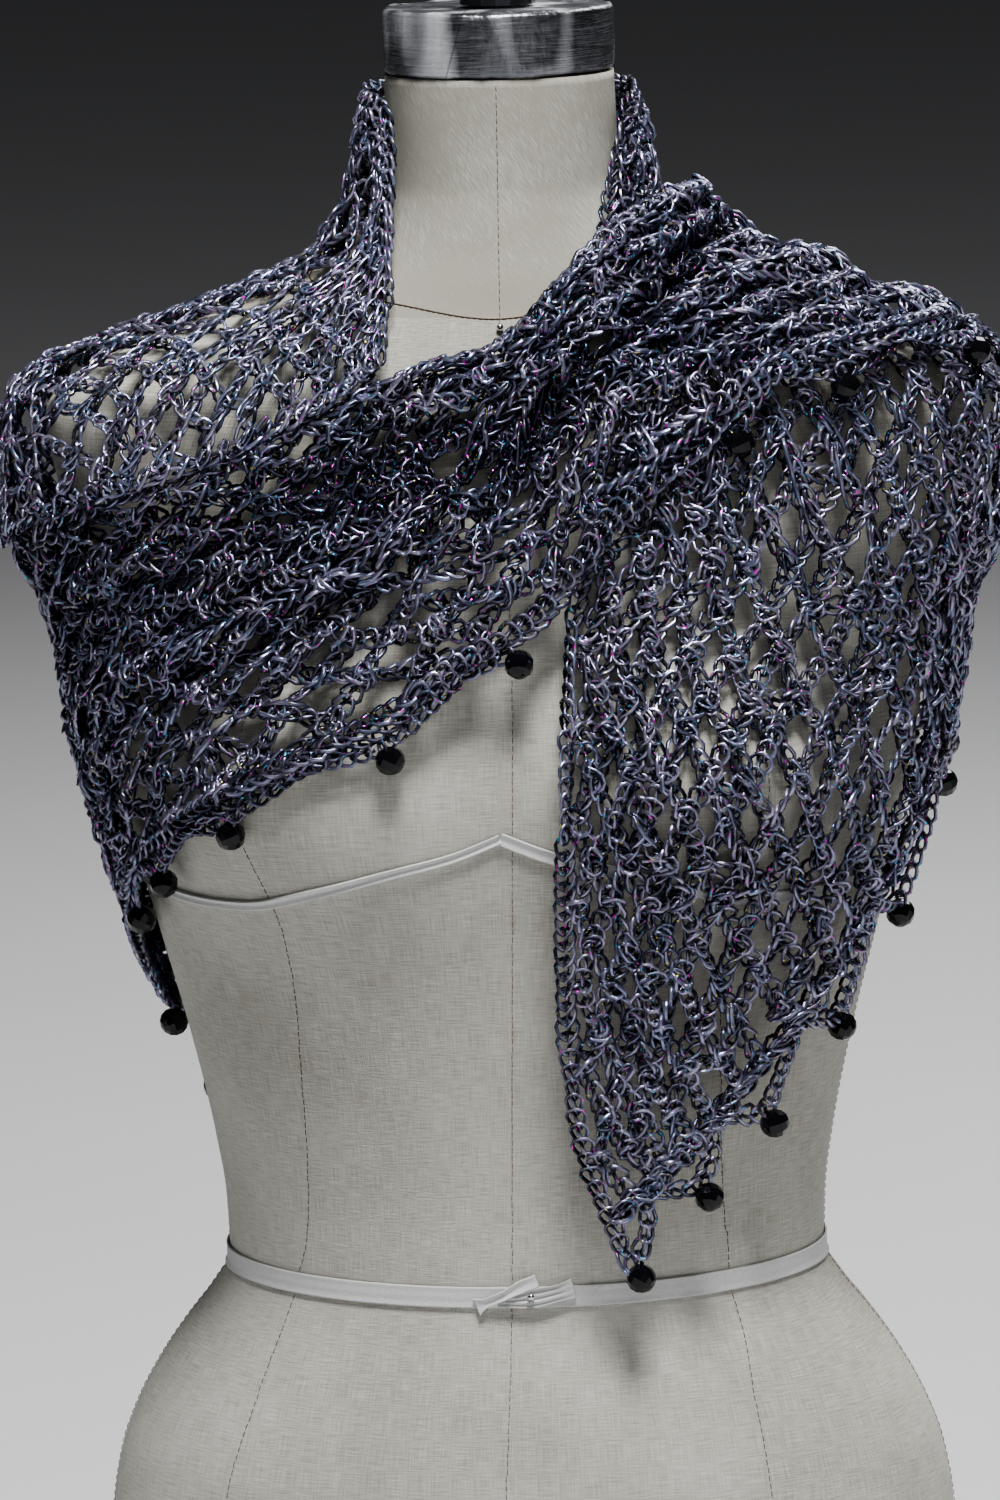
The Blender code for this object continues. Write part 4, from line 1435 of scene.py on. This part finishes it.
def fresh_primitive(add: Callable[..., set[str]], name: str, **settings: object) -> bpy.types.Object:
    """One new primitive, with nothing else selected.

    Args:
        add: the operator that adds it.
        name: the new object's name.
        settings: the operator's settings.

    Returns:
        The new object, active and selected.
    """
    bpy.ops.object.select_all(action="DESELECT")
    add(**settings)
    bpy.context.object.name = name
    return bpy.context.object


def apply_modifier(piece: bpy.types.Object, kind: str, **settings: object) -> None:
    """Add a modifier to the active piece and apply it.

    Args:
        piece: the active piece.
        kind: the modifier's type.
        settings: its properties.
    """
    bpy.ops.object.modifier_add(type=kind)
    modifier = piece.modifiers[-1]
    for key, value in settings.items():
        setattr(modifier, key, value)
    bpy.ops.object.modifier_apply(modifier=modifier.name)


def columns_at(rows: Rows, count: int) -> list[Array]:
    """Read a table at even places from its first row to its last.

    Args:
        rows: the table.
        count: how many places.

    Returns:
        Every column, at those places.
    """
    table = np.array(rows)
    places = np.linspace(0, len(table) - 1, count)
    return [smooth_between(np.arange(len(table)), column, places) for column in table.T]


@dataclass(frozen=True)
class Shawl:
    """The net of every stretch and the glass beads on its hem."""

    bead_radius: float = 0.0055
    bead_sides: int = 10
    bead_rings: int = 7
    bead_glint: tuple[float, float, float] = (0.07, -0.745, 0.665)
    bead_sway: float = 0.03
    bead_turn: float = 2.1

    def beads(self) -> bpy.types.Object:
        """Put cut glass beads at the places of the solid ones, each turned to the key light.

        Returns:
            All beads, as one piece.
        """
        nodes = sorted(thing.name for thing in bpy.data.objects if thing.name.startswith("bead_"))
        pattern = fresh_primitive(bpy.ops.mesh.primitive_uv_sphere_add, "hem_beads", radius=self.bead_radius,
                                  segments=self.bead_sides, ring_count=self.bead_rings)
        shape = bmesh.new()
        half = math.pi / self.bead_sides
        facet = Vector((math.cos(half), math.sin(half), 0.0))
        for number, node in enumerate(nodes):
            middle = Vector(np.array(bpy.data.objects[node].bound_box).mean(0))
            sway = Vector((math.sin(7 * number), 0.0, math.cos(5 * number)))
            aim = Vector(self.bead_glint) + self.bead_sway * sway
            turned = facet.rotation_difference(aim).to_matrix().to_4x4()
            turned = Matrix.Rotation(self.bead_turn * number, 4, aim) @ turned
            copy = pattern.data.copy()
            copy.transform(Matrix.Translation(middle) @ turned)
            shape.from_mesh(copy)
            bpy.data.meshes.remove(copy)
        shape.to_mesh(pattern.data)
        shape.free()
        return dress(pattern, BEAD_FINISH.material(), "jet_beads", *nodes)

    def build(self) -> None:
        """Work the nets of all five stretches and hang the beads."""
        yarn = YarnFinish().material()
        for job in NET_JOBS:
            piece, cut = dress(NetWorker(job).make(), yarn, "crochet_yarn", job.plan.name), job.cut
            half = sum(face.area for face in piece.data.polygons) / 2
            LOG.info("%s: half surface %.4f m2, %.2f of its cut", piece.name, half, half / cut.area)
        self.beads()


@dataclass(frozen=True)
class Seam:
    """A sewn seam: angle and height along it, and its stitches' spacing, length and radius."""

    rows: Rows
    spacing: float = 0.0030
    length: float = 0.0021
    radius: float = 0.00016
    lift: float = 0.00012
    bow: tuple[float, ...] = (-0.00005, 0.00022, -0.00005)
    wander: float = 0.05
    points: int = 400

    def sew(self, yarn: YarnMesh) -> None:
        """Add the seam's row of small stitches.

        Args:
            yarn: the mesh that they join.
        """
        degrees, height = columns_at(self.rows, self.points)
        run = run_lengths(SHAPE.on_form(degrees, height, 0.0))
        count = int(run[-1] / self.spacing)
        places = (np.arange(count) * self.spacing)[:, None] + np.linspace(0, self.length, len(self.bow))
        wander = yarn.draws.normal(0, self.wander, (count, 1))
        angle, level = np.interp(places, run, degrees) + wander, np.interp(places, run, height)
        path = SHAPE.on_form(angle, level, np.array(self.bow) + self.lift)
        yarn.tube(path, SHAPE.on_form(angle, level, 0.01) - path, self.radius, np.ones(path.shape[:2]))


FRONT_LINE = ((1.6, 0.683), (1.3, 0.640), (1.5, 0.598), (2.7, 0.515), (3.0, 0.465), (2.5, 0.422),
              (1.5, 0.353), (0.5, 0.296), (-0.5, 0.232), (-1.0, 0.203), (-1.8, 0.171), (-2.5, 0.003))
PRINCESS = ((-34.0, 0.560), (-42.0, 0.500), (-42.5, 0.440), (-40.5, 0.391), (-42.0, 0.367),
            (-45.0, 0.332), (-49.3, 0.259), (-53.0, 0.234), (-53.2, 0.199), (-54.7, 0.165), (-56.0, 0.003))
LEFT_SEAM_END = ((49.6, 0.259), (50.2, 0.229), (47.8, 0.198), (47.2, 0.165), (47.0, 0.003))
BACK_PRINCESS = ((152.0, 0.620), (144.0, 0.560), (140.0, 0.480), (142.0, 0.400), (140.0, 0.240),
                 (136.0, 0.120), (134.0, 0.003))


def mirrored(rows: Rows) -> Rows:
    """The same line on the other side of the form."""
    return tuple((-angle, height) for angle, height in rows)


SEAMS = (
    Seam(FRONT_LINE),
    Seam(PRINCESS),
    Seam(mirrored(PRINCESS[:7]) + LEFT_SEAM_END),
    Seam(BACK_PRINCESS),
    Seam(mirrored(BACK_PRINCESS)),
    Seam(((180.0, 0.683), (180.0, 0.400), (180.0, 0.003))),
    Seam(((90.0, 0.550), (92.0, 0.400), (90.0, 0.240), (90.0, 0.003))),
    Seam(((-90.0, 0.550), (-92.0, 0.400), (-90.0, 0.240), (-90.0, 0.003))),
    Seam(((-180.0, 0.622), (-90.0, 0.612), (-39.0, 0.6047), (0.0, 0.5989), (39.0, 0.6047), (90.0, 0.612),
          (180.0, 0.622)), spacing=0.0022, length=0.0023, radius=0.00028),
)


@dataclass(frozen=True)
class Ribbon:
    """A cotton tape on the form.

    Each row is angle, height, lift and width in millimetres, and depth of the tape's own pleats.
    """

    name: str
    rows: Rows
    nodes: tuple[str, ...] = ()
    pleats: int = 0
    closed: bool = False
    thickness: float = 0.0006
    hollow: float = 0.35
    steps: int = 60
    cells: int = 10

    def sides(self) -> tuple[Array, Array]:
        """Where the tape's two sides lie.

        Returns:
            Grids of points of the outer and the inner side.
        """
        columns = columns_at(self.rows, self.steps + 1)
        degrees, height, lift, width, depth = (column[:, None] for column in columns)
        side = np.linspace(-0.5, 0.5, self.cells + 1)[None, :]
        ahead = np.gradient(degrees, axis=0) * math.pi / 180 * TAPE_RADIUS
        rise = np.gradient(height, axis=0)
        slope = np.hypot(ahead, rise)
        angle = degrees - np.degrees(side * width * MM * rise / slope / TAPE_RADIUS)
        level = height + side * width * MM * ahead / slope
        pleat = depth * MM * (0.5 + 0.5 * np.cos(2 * math.pi * self.pleats * (side + 0.5)))
        outer = SHAPE.on_form(angle, level, lift * MM + pleat + self.thickness)
        return outer, SHAPE.on_form(angle, level, lift * MM + self.hollow * pleat)

    def build(self, material: bpy.types.Material) -> bpy.types.Object:
        """Make the tape as a thin closed band.

        Args:
            material: the tape's material.

        Returns:
            The dressed tape.
        """
        outer, inner = self.sides()
        if self.closed:
            outer, inner = outer[:-1], inner[:-1]
        count, wide = outer.shape[:2]
        ids, base = np.arange(count * wide).reshape(count, wide), count * wide
        ring = (np.concatenate([ids, ids[:1]]) if self.closed else ids).tolist()
        faces = []
        for a, b in zip(ring[:-1], ring[1:]):
            for j in range(wide - 1):
                faces.append((a[j], b[j], b[j + 1], a[j + 1]))
                faces.append((base + a[j], base + a[j + 1], base + b[j + 1], base + b[j]))
            for j in (0, wide - 1):
                faces.append((a[j], base + a[j], base + b[j], b[j]))
        for row in () if self.closed else (ring[0], ring[-1]):
            faces += [(row[j], row[j + 1], base + row[j + 1], base + row[j]) for j in range(wide - 1)]
        points = np.concatenate([outer.reshape(-1, 3), inner.reshape(-1, 3)])
        return dress(mesh_piece(self.name, points, faces), material, "cotton_tape", *self.nodes)


BUST_LINE = ((0.0, 0.4150), (9.0, 0.4085), (20.0, 0.4030), (32.0, 0.3960), (46.0, 0.3890), (62.0, 0.3875),
             (90.0, 0.3900), (130.0, 0.3930), (180.0, 0.3950))
RIGHT_BUST = tuple((-angle, height, 0.5, 3.2, 0.9) for angle, height in reversed(BUST_LINE))
LEFT_BUST = tuple((angle, height, 0.5, 4.6, 0.5) for angle, height in BUST_LINE)
WAIST_LINE = tuple((angle, 0.2405, 0.5, 8.0, 0.12) for angle in range(-180, 181, 30))
BOW = ((-3.5, 0.2400, 1.6, 4.0, 0.9), (0.0, 0.2398, 1.9, 5.6, 1.2), (5.0, 0.2405, 2.0, 7.4, 1.3),
       (10.0, 0.2422, 1.9, 6.4, 1.1), (13.6, 0.2436, 1.6, 8.0, 0.4))
BOW_END = ((-8.4, 0.2372, 1.6, 7.4, 0.3), (-5.8, 0.2390, 2.1, 3.8, 0.8), (-2.0, 0.2420, 2.9, 3.6, 1.1),
           (2.0, 0.2452, 2.6, 4.8, 0.8), (5.4, 0.2470, 1.7, 5.0, 0.3))
RIBBONS = (
    Ribbon("waist_band", WAIST_LINE, ("waist_tape",), pleats=2, closed=True, steps=180, cells=12),
    Ribbon("bust_band_right", RIGHT_BUST, ("bust_tape",), pleats=1, steps=110),
    Ribbon("bust_band_left", LEFT_BUST, pleats=1, steps=110),
    Ribbon("waist_bow", BOW, ("waist_knot", "waist_tail_left"), pleats=3),
    Ribbon("waist_bow_end", BOW_END, ("waist_tail_right",), pleats=1),
)


@dataclass(frozen=True)
class DressForm:
    """Linen body with its seams, cap, fixture, tapes and pins."""

    sides: int = 144
    levels: int = 230
    foot: Rows = ((0.0, 0.0022), (0.0006, 0.0009), (0.002, 0.0))
    first_level: float = 0.005
    linen_girth: float = 0.84
    cap_radius: float = 0.0433
    cap_height: float = 0.0245
    cap_gap: float = 0.0003
    cap_sides: int = 160
    cap_insets: tuple[float, ...] = (0.006, 0.010)
    rim_width: float = 0.0022
    creases: Rows = ((0.030, 0.0022), (0.009, 0.0009))
    crease_middle: float = 0.62
    pin_radius: float = 0.0014
    pin_places: Rows = ((1.6, 0.5955, 0.0016), (4.0, 0.2415, 0.0046))

    def body(self) -> bpy.types.Object:
        """Make the linen skin as one smooth closed shell, with a map in metres.

        Returns:
            The dressed skin.
        """
        foot, drawn_in = np.array(self.foot).T
        heights = np.concatenate([foot, np.linspace(self.first_level, SHAPE.top, self.levels)])
        drawn_in = np.concatenate([drawn_in, np.zeros(self.levels)])
        a, h = np.meshgrid(np.arange(self.sides) * 2 * math.pi / self.sides, heights)
        r = SHAPE.form_radius(a, h) - drawn_in[:, None]
        points = np.stack([r * np.sin(a), -r * np.cos(a), h], -1).reshape(-1, 3)
        ids = np.arange(len(points)).reshape(len(heights), self.sides)
        nxt = np.roll(ids, -1, 1)
        faces = np.stack([ids[:-1], nxt[:-1], nxt[1:], ids[1:]], -1).reshape(-1, 4).tolist()
        faces += [ids[0][::-1].tolist(), ids[-1].tolist()]
        piece = mesh_piece("form_body", points, faces)
        layer = piece.data.uv_layers.new(name="weave")
        for polygon in piece.data.polygons:
            columns = [v % self.sides for v in polygon.vertices]
            wraps = len(columns) == 4 and 0 in columns and self.sides - 1 in columns
            for loop, vertex, column in zip(polygon.loop_indices, polygon.vertices, columns):
                column = self.sides if wraps and column == 0 else column
                layer.data[loop].uv = (column / self.sides * self.linen_girth, heights[vertex // self.sides])
        return dress(piece, LinenFinish().material(), "form_linen", "form_torso")

    def cap(self) -> bpy.types.Object:
        """Model the neck cap, wrapped in creased silver tape.

        Returns:
            The dressed cap.
        """
        cap = fresh_primitive(bpy.ops.mesh.primitive_cylinder_add, "cap_wrap", vertices=self.cap_sides,
                              radius=self.cap_radius, depth=self.cap_height,
                              location=(0, 0, SHAPE.top + self.cap_gap + self.cap_height / 2))
        bpy.ops.object.transform_apply(location=True)
        bpy.ops.object.mode_set(mode="EDIT")
        bpy.ops.mesh.select_mode(type="FACE")
        bpy.ops.mesh.select_all(action="DESELECT")
        bpy.ops.object.mode_set(mode="OBJECT")
        for face in cap.data.polygons:
            face.select = abs(face.normal.z) > 0.9
        bpy.ops.object.mode_set(mode="EDIT")
        for thickness in self.cap_insets:
            bpy.ops.mesh.inset(thickness=thickness)
        bpy.ops.object.mode_set(mode="OBJECT")
        apply_modifier(cap, "BEVEL", width=self.rim_width, segments=4, limit_method="ANGLE",
                       angle_limit=math.radians(60))
        bpy.ops.object.mode_set(mode="EDIT")
        bpy.ops.mesh.select_all(action="SELECT")
        bpy.ops.mesh.subdivide(number_cuts=3)
        bpy.ops.object.mode_set(mode="OBJECT")
        for number, (scale, strength) in enumerate(self.creases):
            clouds = bpy.data.textures.new(f"creases_{number}", "CLOUDS")
            clouds.noise_scale = scale
            apply_modifier(cap, "DISPLACE", texture=clouds, strength=strength, mid_level=self.crease_middle)
        cap.data.shade_smooth()
        return dress(cap, FoilFinish().material(), "neck_foil", "neck_cap")

    def threads(self) -> bpy.types.Object:
        """Sew every seam line.

        Returns:
            All stitches, as one dressed piece.
        """
        yarn = YarnMesh("seam_threads", Stitch(), 5)
        for seam in SEAMS:
            seam.sew(yarn)
        return dress(yarn.finish(), THREAD_FINISH.material(), "form_linen")

    def pins(self) -> bpy.types.Object:
        """Make two round pin heads, at the neck seam and through the waist tape.

        Returns:
            Both heads, as one dressed piece.
        """
        made = []
        for angle, height, lift in self.pin_places:
            spot = SHAPE.on_form(np.array(angle), np.array(height), lift)
            made.append(fresh_primitive(bpy.ops.mesh.primitive_uv_sphere_add, "pin_heads", segments=20,
                                        ring_count=12, radius=self.pin_radius, location=tuple(spot)))
        bpy.ops.object.select_all(action="DESELECT")
        for head in made:
            head.select_set(True)
        bpy.context.view_layer.objects.active = made[0]
        bpy.ops.object.join()
        bpy.ops.object.transform_apply(location=True)
        made[0].data.shade_smooth()
        return dress(made[0], PIN_FINISH.material(), "fixture_metal")

    def build(self) -> None:
        """Build the whole form."""
        self.body()
        self.cap()
        self.threads()
        self.pins()
        tape = TAPE_FINISH.material()
        for ribbon in RIBBONS:
            ribbon.build(tape)
        fixture = bpy.data.objects["neck_fixture"]
        fixture.data.materials.clear()
        fixture.data.materials.append(FIXTURE_FINISH.material())


@dataclass(frozen=True)
class Lamp:
    """A square area light: its name, place, power in watts and size in metres."""

    name: str
    place: tuple[float, float, float]
    power: float
    size: float

    def build(self, target: Vector) -> None:
        """Hang the light.

        Args:
            target: the place that it is turned to.
        """
        data = bpy.data.lights.new(self.name, "AREA")
        data.energy, data.size = self.power, self.size
        light = bpy.data.objects.new(self.name, data)
        light.location = self.place
        light.rotation_euler = (target - Vector(self.place)).to_track_quat("-Z", "Y").to_euler()
        bpy.context.collection.objects.link(light)


@dataclass(frozen=True)
class Studio:
    """Camera, soft lights and a plain pale floor."""

    azimuth: float = 3.3
    distance: float = 3.2
    camera_height: float = 0.944
    aim_height: float = 0.430
    aim_side: float = -0.0057
    roll: float = 1.37
    lens: float = 207.24
    sensor: float = 36.0
    clip_end: float = 50.0
    look: str = "AgX - Medium High Contrast"
    lamps: tuple[Lamp, ...] = (
        Lamp("key", (0.25, -1.02, 2.88), 114.0, 0.8),
        Lamp("fill", (0.6, -2.9, 1.1), 7.0, 1.5),
        Lamp("rim", (0.9, 2.0, 2.2), 42.0, 1.2),
    )
    lamp_aim: float = 0.4
    surround: Colour = (0.62, 0.63, 0.66)
    surround_strength: float = 0.05
    floor_size: float = 40.0

    def camera(self) -> None:
        """Place the camera at the photograph's viewing angle."""
        turn, roll = math.radians(self.azimuth), math.radians(self.roll)
        place = Vector((self.distance * math.sin(turn), -self.distance * math.cos(turn), self.camera_height))
        right = Vector((math.cos(turn), math.sin(turn), 0))
        aim = Vector((0, 0, self.aim_height)) + right * self.aim_side
        forward = (aim - place).normalized()
        right = forward.cross(Vector((0, 0, 1))).normalized()
        up = right.cross(forward)
        tilted_right = right * math.cos(roll) - up * math.sin(roll)
        tilted_up = right * math.sin(roll) + up * math.cos(roll)
        data = bpy.data.cameras.new("camera")
        data.lens, data.sensor_width, data.clip_end = self.lens, self.sensor, self.clip_end
        camera = bpy.data.objects.new("camera", data)
        bpy.context.collection.objects.link(camera)
        pose = Matrix((tilted_right, tilted_up, -forward)).transposed().to_4x4()
        pose.translation = place
        camera.matrix_world = pose
        bpy.context.scene.camera = camera

    def lights(self) -> None:
        """A large key, a fill and a rim light, with a dim even surround."""
        for lamp in self.lamps:
            lamp.build(Vector((0, 0, self.lamp_aim)))
        world = bpy.data.worlds.new("surround")
        world.use_nodes = True
        colour, strength = world.node_tree.nodes["Background"].inputs[:2]
        colour.default_value, strength.default_value = (*self.surround, 1.0), self.surround_strength
        bpy.context.scene.world = world

    def floor(self) -> None:
        """The pale floor that the form stands on."""
        floor = fresh_primitive(bpy.ops.mesh.primitive_plane_add, "floor", size=self.floor_size)
        floor.data.materials.append(FLOOR_FINISH.material())

    def build(self) -> None:
        """Set up the whole studio."""
        self.camera()
        self.lights()
        self.floor()
        bpy.context.scene.view_settings.look = self.look


def main() -> None:
    """Build the studio, the form and the shawl in order."""
    logging.basicConfig(level=logging.INFO, format="%(message)s")
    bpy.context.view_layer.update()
    Studio().build()
    DressForm().build()
    Shawl().build()


if __name__ == "__main__":
    main()
